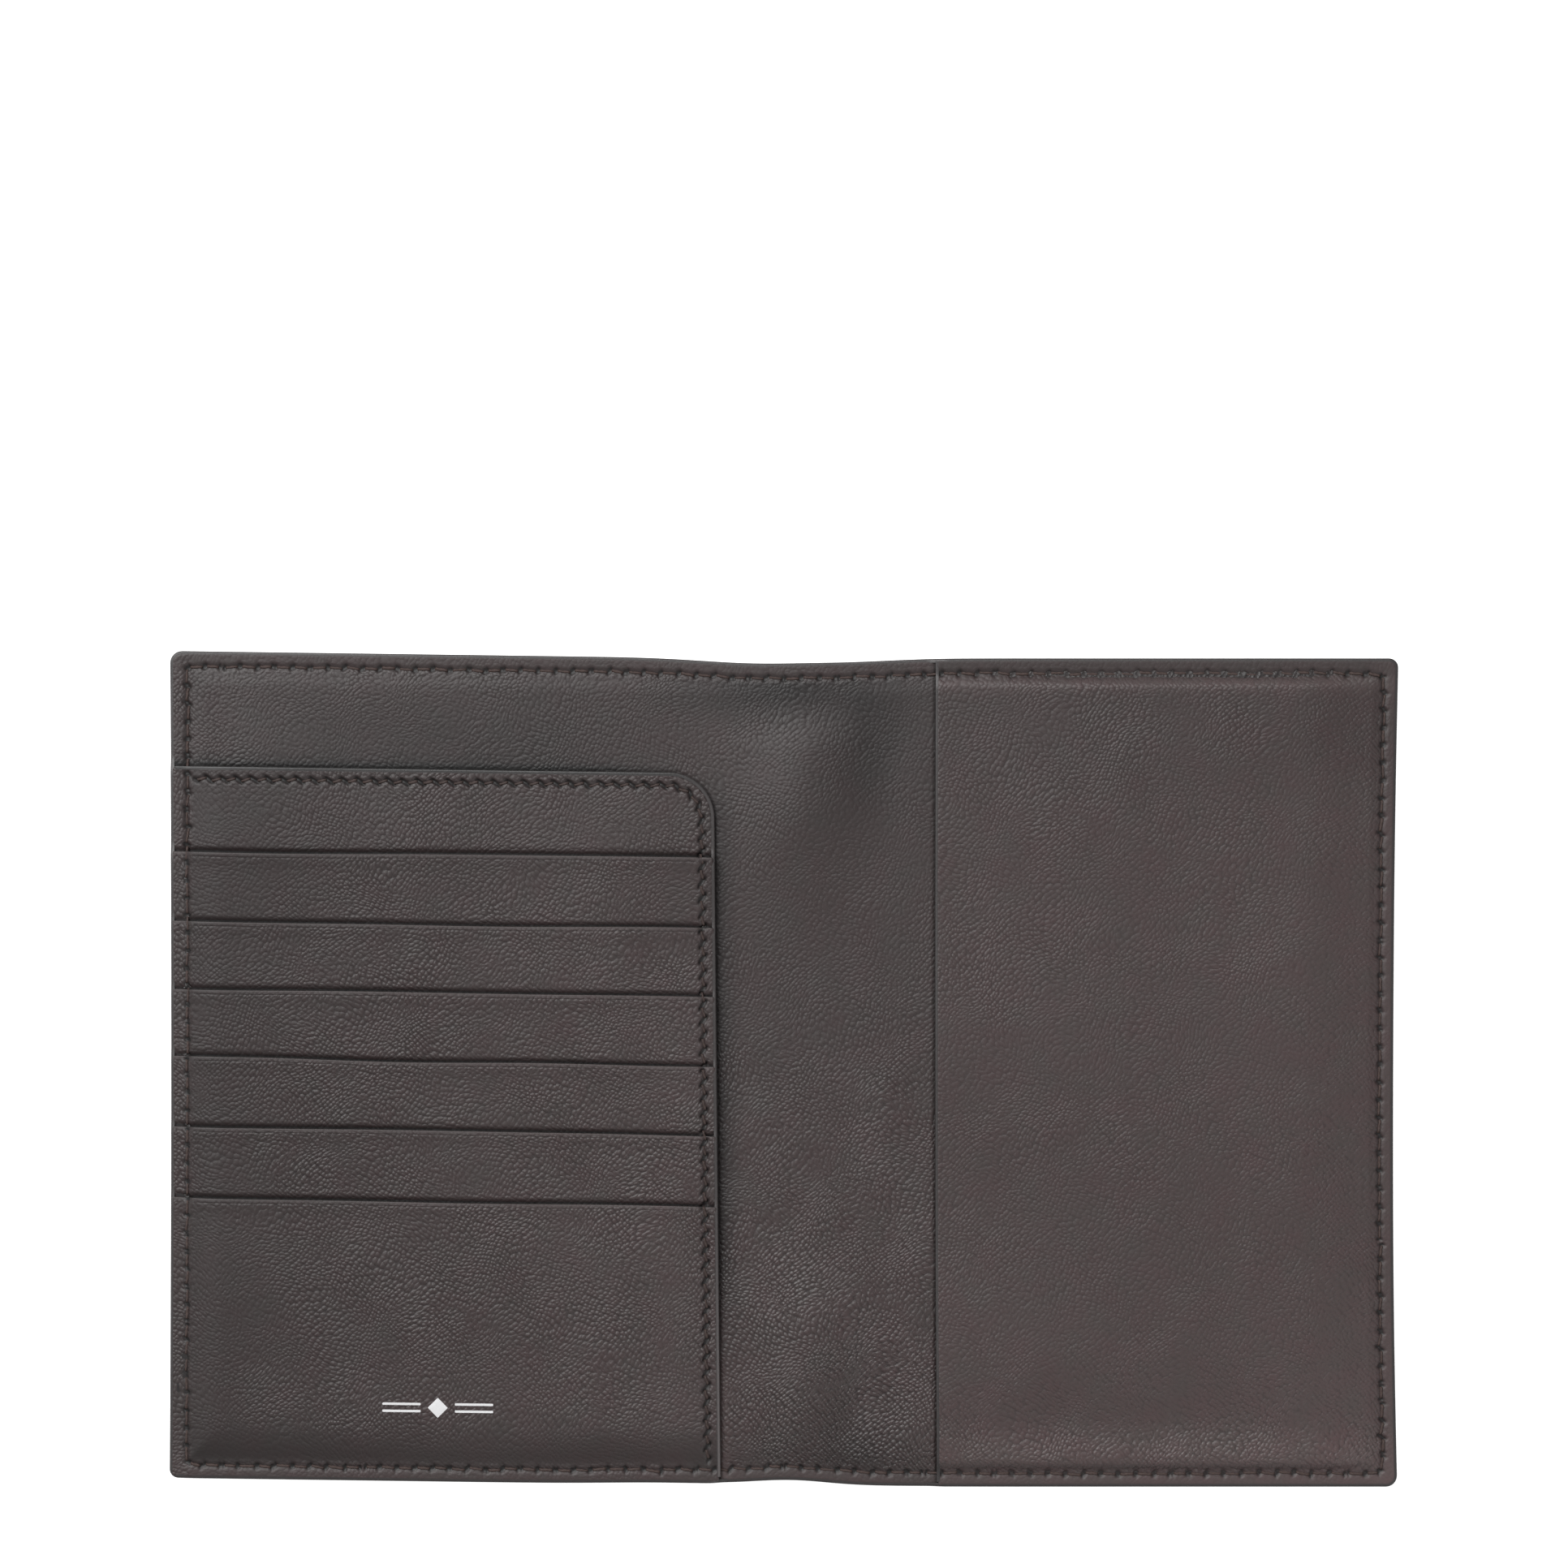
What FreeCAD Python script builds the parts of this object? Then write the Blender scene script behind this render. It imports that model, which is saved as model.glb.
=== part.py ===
import FreeCAD, Part
import os

# Passport holder wallet in leather, lying open with its inside up. Millimetres.
# The origin is on the spine's centre line, halfway up the wallet, on the surface
# that it lies on. +X points to the passport side, +Y to the top edge, +Z up.
# Two creases, one each side of the spine, divide it into three rigid segments:
# the card cover at -X, the spine, and the passport cover at +X.

# --- Overall ---
OPEN_WIDTH = 209.0
HEIGHT = 140.0
CORNER_RADIUS = 1.4
CREASE_GAP = 0.25  # from a crease line to the segment on each side of it
CLOSED_CLEARANCE = 1.5  # between the two covers' contents when folded shut

# --- Layers of the cover, from the outside in ---
SHELL_THICKNESS = 1.0
BOARD_THICKNESS = 0.4
LINING_THICKNESS = 0.5
EDGE_PAINT = 0.4  # painted band round the cut edges
SEAM_MARGIN = 4.0  # glued and sewn width along a closed side of a pocket
LAYER_PLAY = 0.02  # between layers that lie on each other at a slant

# --- Card panel ---
PANEL_CREASE_OFFSET = 8.3  # from the left crease to the panel's free side
PANEL_TOP_OFFSET = 19.5  # from the wallet's top edge to the panel's
PANEL_CORNER_RADIUS = 6.5
PANEL_PAINT = 0.3
DOCUMENT_GAP = 0.6  # room behind the panel, open to the top and the spine
BACKING_THICKNESS = 0.5
SLOT_COUNT = 6
FIRST_STRIP = 14.7  # from the panel's top edge to the first slot's mouth
FRONT_POCKET_HEIGHT = 47.5  # from the last slot's mouth to the bottom edge
PITCH_STEP = 0.1  # each strip shows this much more than the strip above it
SLOT_DEPTH = 45.0
POCKET_THICKNESS = 0.5
POCKET_LAP = 6.0  # how far each strip runs on below the next mouth
TAIL_THICKNESS = 0.06  # thin fabric behind each card
TAIL_LAP = 3.0

# --- Passport sleeve ---
SLEEVE_CREASE_OFFSET = 22.8  # from the right crease to the sleeve's mouth
SLEEVE_GAP = 1.0
SLEEVE_THICKNESS = 0.7
SLEEVE_PAINT = 0.3

# --- Stitching ---
STITCH_INSET = 2.5
STITCH_PITCH = 3.0
STITCH_GAP = 0.6
STITCH_WIDTH = 0.55
STITCH_HEIGHT = 0.25
CREASE_MARGIN = 0.5  # from a crease line to the nearest needle hole
GROOVE_WIDTH = 0.9  # sunk line in the outer shell that holds the thread
GROOVE_DEPTH = 0.3
PANEL_STITCH_INSET = 2.3
PANEL_STITCH_PITCH = 2.6
PANEL_STITCH_END = 2.0  # from the perimeter's stitching to the panel's

# --- Foil ornament on the front pocket: a lozenge between double rules ---
FOIL_THICKNESS = 0.05
FOIL_CENTRE_FROM_LEFT = 45.7
FOIL_CENTRE_FROM_BOTTOM = 12.7
FOIL_LENGTH = 18.8
LOZENGE_SIZE = 3.4
RULE_WIDTH = 0.4
RULE_SPACING = 1.2
RULE_START = 2.9  # from the ornament's centre to the rules' inner ends

# --- Places worked out from the sizes above ---
left = -OPEN_WIDTH / 2
right = OPEN_WIDTH / 2
bottom = -HEIGHT / 2
top = HEIGHT / 2

shell_top = SHELL_THICKNESS
board_top = shell_top + BOARD_THICKNESS
lining_top = board_top + LINING_THICKNESS
backing_bottom = lining_top + DOCUMENT_GAP
backing_top = backing_bottom + BACKING_THICKNESS
sleeve_bottom = lining_top + SLEEVE_GAP
sleeve_top = sleeve_bottom + SLEEVE_THICKNESS

panel_top = top - PANEL_TOP_OFFSET


def slot_mouths():
    """The Y of each slot's mouth, from the top slot down."""
    first_mouth = panel_top - FIRST_STRIP
    stepped_height = first_mouth - (bottom + FRONT_POCKET_HEIGHT)
    mean_pitch = stepped_height / (SLOT_COUNT - 1)
    middle = (SLOT_COUNT - 2) / 2
    heights = [first_mouth]
    for gap in range(SLOT_COUNT - 1):
        heights.append(heights[-1] - mean_pitch - PITCH_STEP * (gap - middle))
    return heights


mouths = slot_mouths()
front_mouth = mouths[-1]
least_pitch = min(high - low for high, low in zip(mouths, mouths[1:]))
pocket_slope = (POCKET_THICKNESS - TAIL_THICKNESS + LAYER_PLAY) / least_pitch


def strip_line(index):
    """The underside of one shingled strip, as its low and high ends in (Y, Z)."""
    low_y = mouths[index + 1] - POCKET_LAP
    low_z = backing_top + (index + 1) * TAIL_THICKNESS
    high_y = mouths[index]
    return (low_y, low_z), (high_y, low_z + pocket_slope * (high_y - low_y))


def height_on(line, y):
    (low_y, low_z), (high_y, high_z) = line
    return low_z + (high_z - low_z) * (y - low_y) / (high_y - low_y)


def front_line():
    """The front pocket's underside: over the last strip and clear of its tail."""
    last_strip = strip_line(SLOT_COUNT - 2)
    high_z = height_on(last_strip, front_mouth) + POCKET_THICKNESS + LAYER_PLAY
    tail_end = mouths[-2] - SLOT_DEPTH
    tail_z = backing_top + (SLOT_COUNT - 1) * TAIL_THICKNESS + LAYER_PLAY
    over_tail = height_on(((tail_end, tail_z), (front_mouth, high_z)), bottom)
    return (bottom, max(backing_top + LAYER_PLAY, over_tail)), (front_mouth, high_z)


pocket_lines = [strip_line(index) for index in range(SLOT_COUNT - 1)]
pocket_lines.append(front_line())


def panel_height(y):
    """The height of the card panel's upper surface."""
    for mouth, line in reversed(list(zip(mouths, pocket_lines))):
        if y <= mouth:
            return height_on(line, y) + POCKET_THICKNESS
    return backing_top


card_stack = panel_height(front_mouth) + STITCH_HEIGHT - lining_top
passport_stack = sleeve_top + STITCH_HEIGHT - lining_top
spine_width = card_stack + passport_stack + CLOSED_CLEARANCE
left_crease = -spine_width / 2
right_crease = spine_width / 2
panel_right = left_crease - PANEL_CREASE_OFFSET
sleeve_left = right_crease + SLEEVE_CREASE_OFFSET

# Each segment's reach along X.
SEGMENTS = {
    "left": (left, left_crease - CREASE_GAP),
    "spine": (left_crease + CREASE_GAP, right_crease - CREASE_GAP),
    "right": (right_crease + CREASE_GAP, right),
}


card_top = lining_top + card_stack


def surface_height(x, y):
    """The height of the open wallet's inside, where thread lies on it."""
    if x >= sleeve_left:
        return sleeve_top
    if x <= panel_right and y <= panel_top:
        return panel_height(y)
    return lining_top


# --- Shapes ---
def vector(x, y, z=0.0):
    return FreeCAD.Vector(x, y, z)


def box(x0, x1, y0, y1, z0, z1):
    return Part.makeBox(x1 - x0, y1 - y0, z1 - z0, vector(x0, y0, z0))


def strip(section, x0, x1):
    """A solid from x0 to x1 whose section, in Y and Z, is a polygon."""
    points = [vector(x0, y, z) for y, z in section]
    face = Part.Face(Part.makePolygon(points + points[:1]))
    return face.extrude(vector(x1 - x0, 0, 0))


def slanted_section(line, thickness):
    (low_y, low_z), (high_y, high_z) = line
    return (
        (low_y, low_z),
        (high_y, high_z),
        (high_y, high_z + thickness),
        (low_y, low_z + thickness),
    )


def stands_at(edge, corner):
    x, y = corner
    return all(abs(v.X - x) + abs(v.Y - y) < 1e-6 for v in edge.Vertexes)


def rounded_box(x0, x1, y0, y1, z0, z1, radius, corners):
    """A box with some of its upright edges rounded, each named by its corner."""
    slab = box(x0, x1, y0, y1, z0, z1)
    edges = [e for e in slab.Edges if any(stands_at(e, c) for c in corners)]
    return slab.makeFillet(radius, edges)


def wallet_block(inset, z0, z1):
    """The open wallet's whole outline, drawn in by inset."""
    x0, x1, y0, y1 = left + inset, right - inset, bottom + inset, top - inset
    corners = ((x0, y0), (x1, y0), (x1, y1), (x0, y1))
    return rounded_box(x0, x1, y0, y1, z0, z1, CORNER_RADIUS - inset, corners)


def panel_block(inset, z0, z1):
    """The card panel's outline, its free top and side edges drawn in by inset."""
    x1, y1 = panel_right - inset, panel_top - inset
    radius = PANEL_CORNER_RADIUS - inset
    return rounded_box(left, x1, bottom, y1, z0, z1, radius, ((x1, y1),))


def within(segment, shape):
    x0, x1 = SEGMENTS[segment]
    return shape.common(box(x0, x1, bottom, top, 0, card_top))


core = wallet_block(EDGE_PAINT, 0, card_top)
panel_core = panel_block(PANEL_PAINT, 0, card_top).common(core)
paint_ring = wallet_block(0, 0, card_top).cut(core)


# --- Cover layers ---
def layer(segment, z0, z1):
    """One full layer of the cover, inside the painted edge."""
    return within(segment, core.common(box(left, right, bottom, top, z0, z1)))


def thread_groove():
    """The sunk line under the outer shell, all round the wallet."""
    near, far = STITCH_INSET - GROOVE_WIDTH / 2, STITCH_INSET + GROOVE_WIDTH / 2
    outer = box(left + near, right - near, bottom + near, top - near, 0, GROOVE_DEPTH)
    inner = box(left + far, right - far, bottom + far, top - far, 0, GROOVE_DEPTH)
    return outer.cut(inner)


def outer_shell(segment):
    return layer(segment, 0, shell_top).cut(thread_groove())


# --- Card panel ---
def card_panel_backing():
    """The backing, with the seam margins under its sewn left and bottom sides."""
    plate = panel_core.common(box(left, right, bottom, top, backing_bottom, backing_top))
    side_end = left + SEAM_MARGIN
    side = box(left, side_end, bottom, top, lining_top, backing_bottom)
    foot_top = bottom + SEAM_MARGIN
    foot = box(side_end, right, bottom, foot_top, lining_top, backing_bottom)
    return [plate, panel_core.common(side), panel_core.common(foot)]


def card_pocket(index):
    section = slanted_section(pocket_lines[index], POCKET_THICKNESS)
    return strip(section, left, panel_right).common(panel_core)


def front_card_pocket():
    """The front pocket's leather, with the seam margin under its sewn bottom side."""
    line = pocket_lines[-1]
    foot_end = bottom + SEAM_MARGIN
    foot = (
        (bottom, backing_top),
        (foot_end, backing_top),
        (foot_end, height_on(line, foot_end)),
        (bottom, height_on(line, bottom)),
    )
    margin = strip(foot, left, panel_right).common(panel_core)
    return [card_pocket(SLOT_COUNT - 1), margin]


def pocket_tail(index):
    """The thin fabric that carries on down from a strip to the slot's floor."""
    tail_bottom = mouths[index] - SLOT_DEPTH
    tail_top = mouths[index + 1] - POCKET_LAP + TAIL_LAP
    z0 = backing_top + index * TAIL_THICKNESS
    sheet = box(left, panel_right, tail_bottom, tail_top, z0, z0 + TAIL_THICKNESS)
    return sheet.common(panel_core)


def panel_skyline(z0):
    """Everything from z0 up to the card panel's stepped upper surface."""
    section = [(bottom, z0), (panel_top, z0), (panel_top, backing_top)]
    section.append((mouths[0], backing_top))
    for high, low, line in zip(mouths, mouths[1:] + [bottom], pocket_lines):
        section.append((high, height_on(line, high) + POCKET_THICKNESS))
        section.append((low, height_on(line, low) + POCKET_THICKNESS))
    return strip(section, left, panel_right)


def card_panel_edge_paint():
    rim = panel_block(0, 0, card_top).cut(panel_block(PANEL_PAINT, 0, card_top))
    return rim.common(core).common(panel_skyline(backing_bottom))


# --- Passport sleeve ---
def passport_sleeve():
    """The sleeve's leather, with the seam margins under its three sewn sides."""
    mouth = sleeve_left + SLEEVE_PAINT
    plate = core.common(box(mouth, right, bottom, top, sleeve_bottom, sleeve_top))
    side_start = right - SEAM_MARGIN
    margins = (
        box(side_start, right, bottom, top, lining_top, sleeve_bottom),
        box(mouth, side_start, bottom, bottom + SEAM_MARGIN, lining_top, sleeve_bottom),
        box(mouth, side_start, top - SEAM_MARGIN, top, lining_top, sleeve_bottom),
    )
    return [plate] + [core.common(margin) for margin in margins]


def sleeve_edge_paint():
    mouth = box(
        sleeve_left, sleeve_left + SLEEVE_PAINT, bottom, top, sleeve_bottom, sleeve_top
    )
    return core.common(mouth)


# --- Painted cut edges ---
def edge_paint(segment):
    """The painted band along the wallet's outer edge, as high as the layers."""
    covered = box(left, right, bottom, top, 0, lining_top)
    covered = covered.fuse(panel_skyline(0))
    covered = covered.fuse(box(sleeve_left, right, bottom, top, 0, sleeve_top))
    return within(segment, paint_ring.common(covered)).removeSplitter()


# --- Stitching ---
def straight(x0, y0, x1, y1):
    return Part.Wire([Part.LineSegment(vector(x0, y0), vector(x1, y1)).toShape()])


def stitch(start, end, z0):
    """One flat thread with round ends, lying from start to end."""
    along = (end - start).normalize()
    across = along.cross(vector(0, 0, 1)) * (STITCH_WIDTH / 2)
    first = start + along * (STITCH_WIDTH / 2)
    last = end - along * (STITCH_WIDTH / 2)
    edges = (
        Part.LineSegment(first + across, last + across),
        Part.Arc(last + across, end, last - across),
        Part.LineSegment(last - across, first - across),
        Part.Arc(first - across, start, first + across),
    )
    face = Part.Face(Part.Wire([edge.toShape() for edge in edges]))
    face.translate(vector(0, 0, z0))
    return face.extrude(vector(0, 0, STITCH_HEIGHT))


def resting_height(start, end):
    """The highest point of the surface under a stitch."""
    across = (end - start).normalize().cross(vector(0, 0, 1)) * STITCH_WIDTH / 2
    steps = 12
    heights = []
    for step in range(steps + 1):
        middle = start + (end - start) * (step / steps)
        for point in (middle - across, middle, middle + across):
            heights.append(surface_height(point.x, point.y))
    return max(heights)


def stitches_along(path, pitch, height):
    """A row of stitches, evenly spaced along a path."""
    count = max(1, round(path.Length / pitch))
    points = path.discretize(count + 1)
    row = []
    for a, b in zip(points, points[1:]):
        trim = (b - a).normalize() * (STITCH_GAP / 2)
        start, end = a + trim, b - trim
        row.append(stitch(start, end, height(start, end)))
    return row


def perimeter_paths(segment):
    """The straight runs of the perimeter's stitch line on one segment."""
    x0, x1 = left + STITCH_INSET, right - STITCH_INSET
    y0, y1 = bottom + STITCH_INSET, top - STITCH_INSET
    ends = {
        "left": (x0, left_crease - CREASE_MARGIN),
        "spine": (left_crease + CREASE_MARGIN, right_crease - CREASE_MARGIN),
        "right": (right_crease + CREASE_MARGIN, x1),
    }
    start, end = ends[segment]
    paths = [straight(start, y1, end, y1), straight(start, y0, end, y0)]
    sides = {"left": x0, "right": x1}
    if segment in sides:
        paths.append(straight(sides[segment], y0, sides[segment], y1))
    return paths


def perimeter_stitches(segment, height):
    rows = [stitches_along(path, STITCH_PITCH, height) for path in perimeter_paths(segment)]
    return [thread for row in rows for thread in row]


def inner_stitches(segment):
    return perimeter_stitches(
        segment, lambda start, end: resting_height(start, end) + LAYER_PLAY
    )


def outer_stitches(segment):
    roof = GROOVE_DEPTH - STITCH_HEIGHT
    return perimeter_stitches(segment, lambda start, end: roof)


def card_panel_stitches():
    """One row along the panel's top, round its corner and down its free side."""
    x1 = panel_right - PANEL_STITCH_INSET
    y1 = panel_top - PANEL_STITCH_INSET
    radius = PANEL_CORNER_RADIUS - PANEL_STITCH_INSET
    middle_x = x1 - radius + radius * 0.5**0.5
    middle_y = y1 - radius + radius * 0.5**0.5
    start = vector(left + STITCH_INSET + PANEL_STITCH_END, y1)
    arc_start, arc_end = vector(x1 - radius, y1), vector(x1, y1 - radius)
    finish = vector(x1, bottom + STITCH_INSET + PANEL_STITCH_END)
    path = Part.Wire(
        [
            Part.LineSegment(start, arc_start).toShape(),
            Part.Arc(arc_start, vector(middle_x, middle_y), arc_end).toShape(),
            Part.LineSegment(arc_end, finish).toShape(),
        ]
    )
    return stitches_along(
        path,
        PANEL_STITCH_PITCH,
        lambda start, end: resting_height(start, end) + LAYER_PLAY,
    )


# --- Foil ornament ---
def foil_ornament():
    """A lozenge between double rules, lying on the slanted front pocket."""
    x = left + FOIL_CENTRE_FROM_LEFT
    y = bottom + FOIL_CENTRE_FROM_BOTTOM
    foil = [lozenge(x, y)]
    for side in (-1, 1):
        for row in (-1, 1):
            inner, outer = x + side * RULE_START, x + side * FOIL_LENGTH / 2
            middle = y + row * RULE_SPACING / 2
            foil.append(foil_rule(min(inner, outer), max(inner, outer), middle))
    return foil


def foil_section(y0, y1):
    low_z = panel_height(y0)
    high_z = panel_height(y1)
    return slanted_section(((y0, low_z), (y1, high_z)), FOIL_THICKNESS)


def foil_rule(x0, x1, y):
    return strip(foil_section(y - RULE_WIDTH / 2, y + RULE_WIDTH / 2), x0, x1)


def lozenge(x, y):
    half = LOZENGE_SIZE / 2
    sheet = strip(foil_section(y - half, y + half), x - half, x + half)
    corners = ((x - half, y), (x, y - half), (x + half, y), (x, y + half))
    points = [vector(px, py) for px, py in corners]
    diamond = Part.Face(Part.makePolygon(points + points[:1]))
    return sheet.common(diamond.extrude(vector(0, 0, card_top)))


# --- Nodes ---
def cover_nodes(segment):
    return {
        "outer_shell_" + segment: outer_shell(segment),
        "lining_" + segment: layer(segment, board_top, lining_top),
        "edge_paint_" + segment: edge_paint(segment),
        "inner_stitches_" + segment: inner_stitches(segment),
        "outer_stitches_" + segment: outer_stitches(segment),
    }


def all_nodes():
    nodes = {}
    for segment in SEGMENTS:
        nodes.update(cover_nodes(segment))
    nodes["cover_board_left"] = layer("left", shell_top, board_top)
    nodes["spine_reinforcement"] = layer("spine", shell_top, board_top)
    nodes["cover_board_right"] = layer("right", shell_top, board_top)
    nodes["card_panel_backing"] = card_panel_backing()
    for index in range(SLOT_COUNT - 1):
        nodes["card_pocket_%d" % (index + 1)] = card_pocket(index)
        nodes["pocket_tail_%d" % (index + 1)] = pocket_tail(index)
    nodes["front_card_pocket"] = front_card_pocket()
    nodes["card_panel_edge_paint"] = card_panel_edge_paint()
    nodes["card_panel_stitches"] = card_panel_stitches()
    nodes["foil_ornament"] = foil_ornament()
    nodes["passport_sleeve"] = passport_sleeve()
    nodes["sleeve_edge_paint"] = sleeve_edge_paint()
    return nodes


def export(name, shape):
    solids = shape if isinstance(shape, list) else shape.Solids
    whole = Part.makeCompound(solids) if len(solids) != 1 else solids[0]
    whole.exportStep("parts/%s.step" % name)
    print("%-24s %3d solids %10.2f mm3" % (name, len(solids), whole.Volume))


os.makedirs("parts", exist_ok=True)
for name, shape in all_nodes().items():
    export(name, shape)
print("creases at x = %.4f and %.4f, z = %.3f" % (left_crease, right_crease, lining_top))
print("mouths at y =", ", ".join("%.2f" % mouth for mouth in mouths))
print("panel right %.3f, sleeve left %.3f, top %.3f" % (panel_right, sleeve_left, card_top))
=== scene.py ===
import math

import bpy
import numpy as np
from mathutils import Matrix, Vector
from mathutils.geometry import delaunay_2d_cdt


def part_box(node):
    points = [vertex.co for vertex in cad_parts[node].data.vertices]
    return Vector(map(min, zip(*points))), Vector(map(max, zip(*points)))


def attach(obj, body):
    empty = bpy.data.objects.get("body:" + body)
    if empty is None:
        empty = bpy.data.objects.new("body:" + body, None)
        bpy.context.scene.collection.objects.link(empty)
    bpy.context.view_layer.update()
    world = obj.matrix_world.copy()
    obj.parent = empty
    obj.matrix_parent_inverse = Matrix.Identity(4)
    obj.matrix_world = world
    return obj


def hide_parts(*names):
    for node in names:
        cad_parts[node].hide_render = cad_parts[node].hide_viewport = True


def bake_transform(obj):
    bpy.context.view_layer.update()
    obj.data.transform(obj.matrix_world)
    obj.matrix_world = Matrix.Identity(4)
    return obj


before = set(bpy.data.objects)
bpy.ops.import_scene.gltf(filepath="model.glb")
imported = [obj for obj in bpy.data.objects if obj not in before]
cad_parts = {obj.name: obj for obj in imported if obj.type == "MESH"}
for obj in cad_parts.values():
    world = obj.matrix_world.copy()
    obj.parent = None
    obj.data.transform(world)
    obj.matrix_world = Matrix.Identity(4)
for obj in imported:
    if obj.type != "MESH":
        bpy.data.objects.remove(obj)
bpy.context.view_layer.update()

# An open passport holder in dark grained leather, lying on its back.
# Lengths in this script are in millimetres, and meshes are made in metres.
# Shapes are worked out on the neat pattern, in the frame's own places, and
# settle() then moves them to where cutting, sewing and use leave the leather.

MM = 0.001


# --- Places read from the frame ---
def corner(node, end):
    """A CAD node's lowest (0) or highest (1) corner, in millimetres."""
    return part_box(node)[end] / MM


LEFT, BOTTOM = corner("edge_paint_left", 0).xy
RIGHT, TOP = corner("edge_paint_right", 1).xy
PAINT = corner("outer_shell_left", 0).x - LEFT
SHELL = corner("outer_shell_left", 1).z
BOARD = corner("cover_board_left", 1).z - SHELL
COVER_TOP = corner("lining_left", 1).z
LINING = COVER_TOP - corner("lining_left", 0).z
PANEL_RIGHT, PANEL_TOP = corner("card_panel_edge_paint", 1).xy
PANEL_PAINT = PANEL_RIGHT - corner("card_panel_backing", 1).x
BACKING_TOP = corner("card_panel_backing", 1).z
SLEEVE_LEFT = corner("sleeve_edge_paint", 0).x
SLEEVE_PAINT = corner("passport_sleeve", 0).x - SLEEVE_LEFT
SLEEVE_GAP = corner("sleeve_edge_paint", 0).z - COVER_TOP
SLEEVE = corner("sleeve_edge_paint", 1).z - COVER_TOP - SLEEVE_GAP
BOARD_END = corner("cover_board_left", 1).x
SPINE_BOARD_END = corner("spine_reinforcement", 1).x
STRIPS = [f"card_pocket_{number}" for number in range(1, 6)] + ["front_card_pocket"]
FRONT = len(STRIPS) - 1
TAILS = [f"pocket_tail_{number}" for number in range(1, 6)]
MOUTHS = [corner(strip, 1).y for strip in STRIPS]

# --- Leather, as cut ---
BACKING = 0.5
POCKET = 0.5
DOCUMENT_GAP = BACKING_TOP - BACKING - COVER_TOP
PLAY = 0.02  # between two layers that lie on each other
TAIL = corner("pocket_tail_1", 1).z - corner("pocket_tail_1", 0).z
FRONT_FOOT = 0.02
CORNER_RADII = (1.5, 2.0, 1.6, 2.1)
PANEL_RADIUS = 7.6

# --- Seams ---
SEAM_INSETS = {"left": 2.9, "right": 2.4, "bottom": 2.3, "top": 2.6}
SEAM_WANDER = 0.11
SEAM_RADII = (0.8, 0.8, 0.8, 0.8)
SEAM_PITCH = 3.0
SEAM_GAP = 0.6
PANEL_SEAM_INSET = 2.2
PANEL_SEAM_PITCH = 2.6
PANEL_SEAM_GAP = 0.85
PANEL_STITCH_TURN = -0.24
STITCH_TURN = 0.07
OUTER_SEAM_INSET = 2.5
OUTER_SEAM_WANDER = 0.03
THREAD_WIDTH = 0.46
THREAD_HEIGHT = 0.34


# --- Curves ---
def smooth(low, high, value):
    """0 below low, 1 above high, and an S curve between."""
    t = np.clip((value - low) / (high - low), 0.0, 1.0)
    return t * t * (3.0 - 2.0 * t)


def hump(value, centre, width):
    return np.exp(-(((value - centre) / width) ** 2))


def spots(table, x, y, start):
    """Adds soft spots to a value. Each has a centre, a reach and a height."""
    heights = (h * hump(x, cx, wide) * hump(y, cy, high) for (cx, cy), (wide, high), h in table)
    return sum(heights, start)


class Waves:
    """A gentle unevenness: a few sine waves of about one length, in mixed directions."""

    def __init__(self, seed, length, count=9):
        draw = np.random.default_rng(seed)
        heading = draw.uniform(0, math.tau, count)
        wave_number = math.tau / (length * draw.uniform(0.7, 1.5, count))
        self.along_x = np.cos(heading) * wave_number
        self.along_y = np.sin(heading) * wave_number
        self.start = draw.uniform(0, math.tau, count)
        self.scale = math.sqrt(2.0 / count)

    def __call__(self, x, y=0.0):
        x, y = np.broadcast_arrays(np.asarray(x, float), np.asarray(y, float))
        angle = x[..., None] * self.along_x + y[..., None] * self.along_y + self.start
        return np.sin(angle).sum(-1) * self.scale


# --- How the real leather departs from the pattern ---
SHEET_DROP = 0.55
COVER_LEAN = 0.0135  # the card cover's rows rise this much per millimetre to the left
LEAN_EASE = 6.0
HEIGHT_EASE = 1.0047
RIGHT_HEIGHT_EASE = 0.0018
TOP_HOLLOWS = ((-4.5, 13.0, 0.8), (12.0, 10.0, 0.4))  # centre, width, depth
BOTTOM_HOLLOWS = ((1.0, 9.0, 0.85), (-20.0, 14.0, 0.32))
LEFT_BOW = 0.3
RIGHT_BOW = 0.85
RIGHT_DRAW = 0.2  # the passport cover is this much narrower at its foot
PANEL_LEAN = 0.0095
PANEL_SHIFT = 0.066
SLEEVE_LEAN = 0.0018


def settle(x, y):
    """Where a point of the neat pattern lies on the real, handled wallet."""
    ease = HEIGHT_EASE + RIGHT_HEIGHT_EASE * smooth(-20, 40, x)
    lean = COVER_LEAN * LEAN_EASE * np.log1p(np.exp(-x / LEAN_EASE)) - SHEET_DROP
    up = y / TOP
    hollow = sum(depth * hump(x, centre, width) for centre, width, depth in TOP_HOLLOWS)
    rise = sum(depth * hump(x, centre, width) for centre, width, depth in BOTTOM_HOLLOWS)
    bow = 1.0 - np.clip(up, -1, 1) ** 2
    new_y = y * ease + lean - hollow * smooth(0.72, 1, up) + rise * smooth(0.72, 1, -up)
    on_left, on_right = np.clip(x / LEFT, 0, 1), np.clip(x / RIGHT, 0, 1)
    drawn = RIGHT_BOW * bow + RIGHT_DRAW * smooth(20, -50, y)
    return x + LEFT_BOW * bow * on_left - drawn * on_right, new_y


def panel_lay(x, y):
    """The card panel leans a little, most at its free side."""
    share = (x - LEFT) / (PANEL_RIGHT - LEFT)
    return x + share * (PANEL_SHIFT - PANEL_LEAN * y), y


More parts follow.
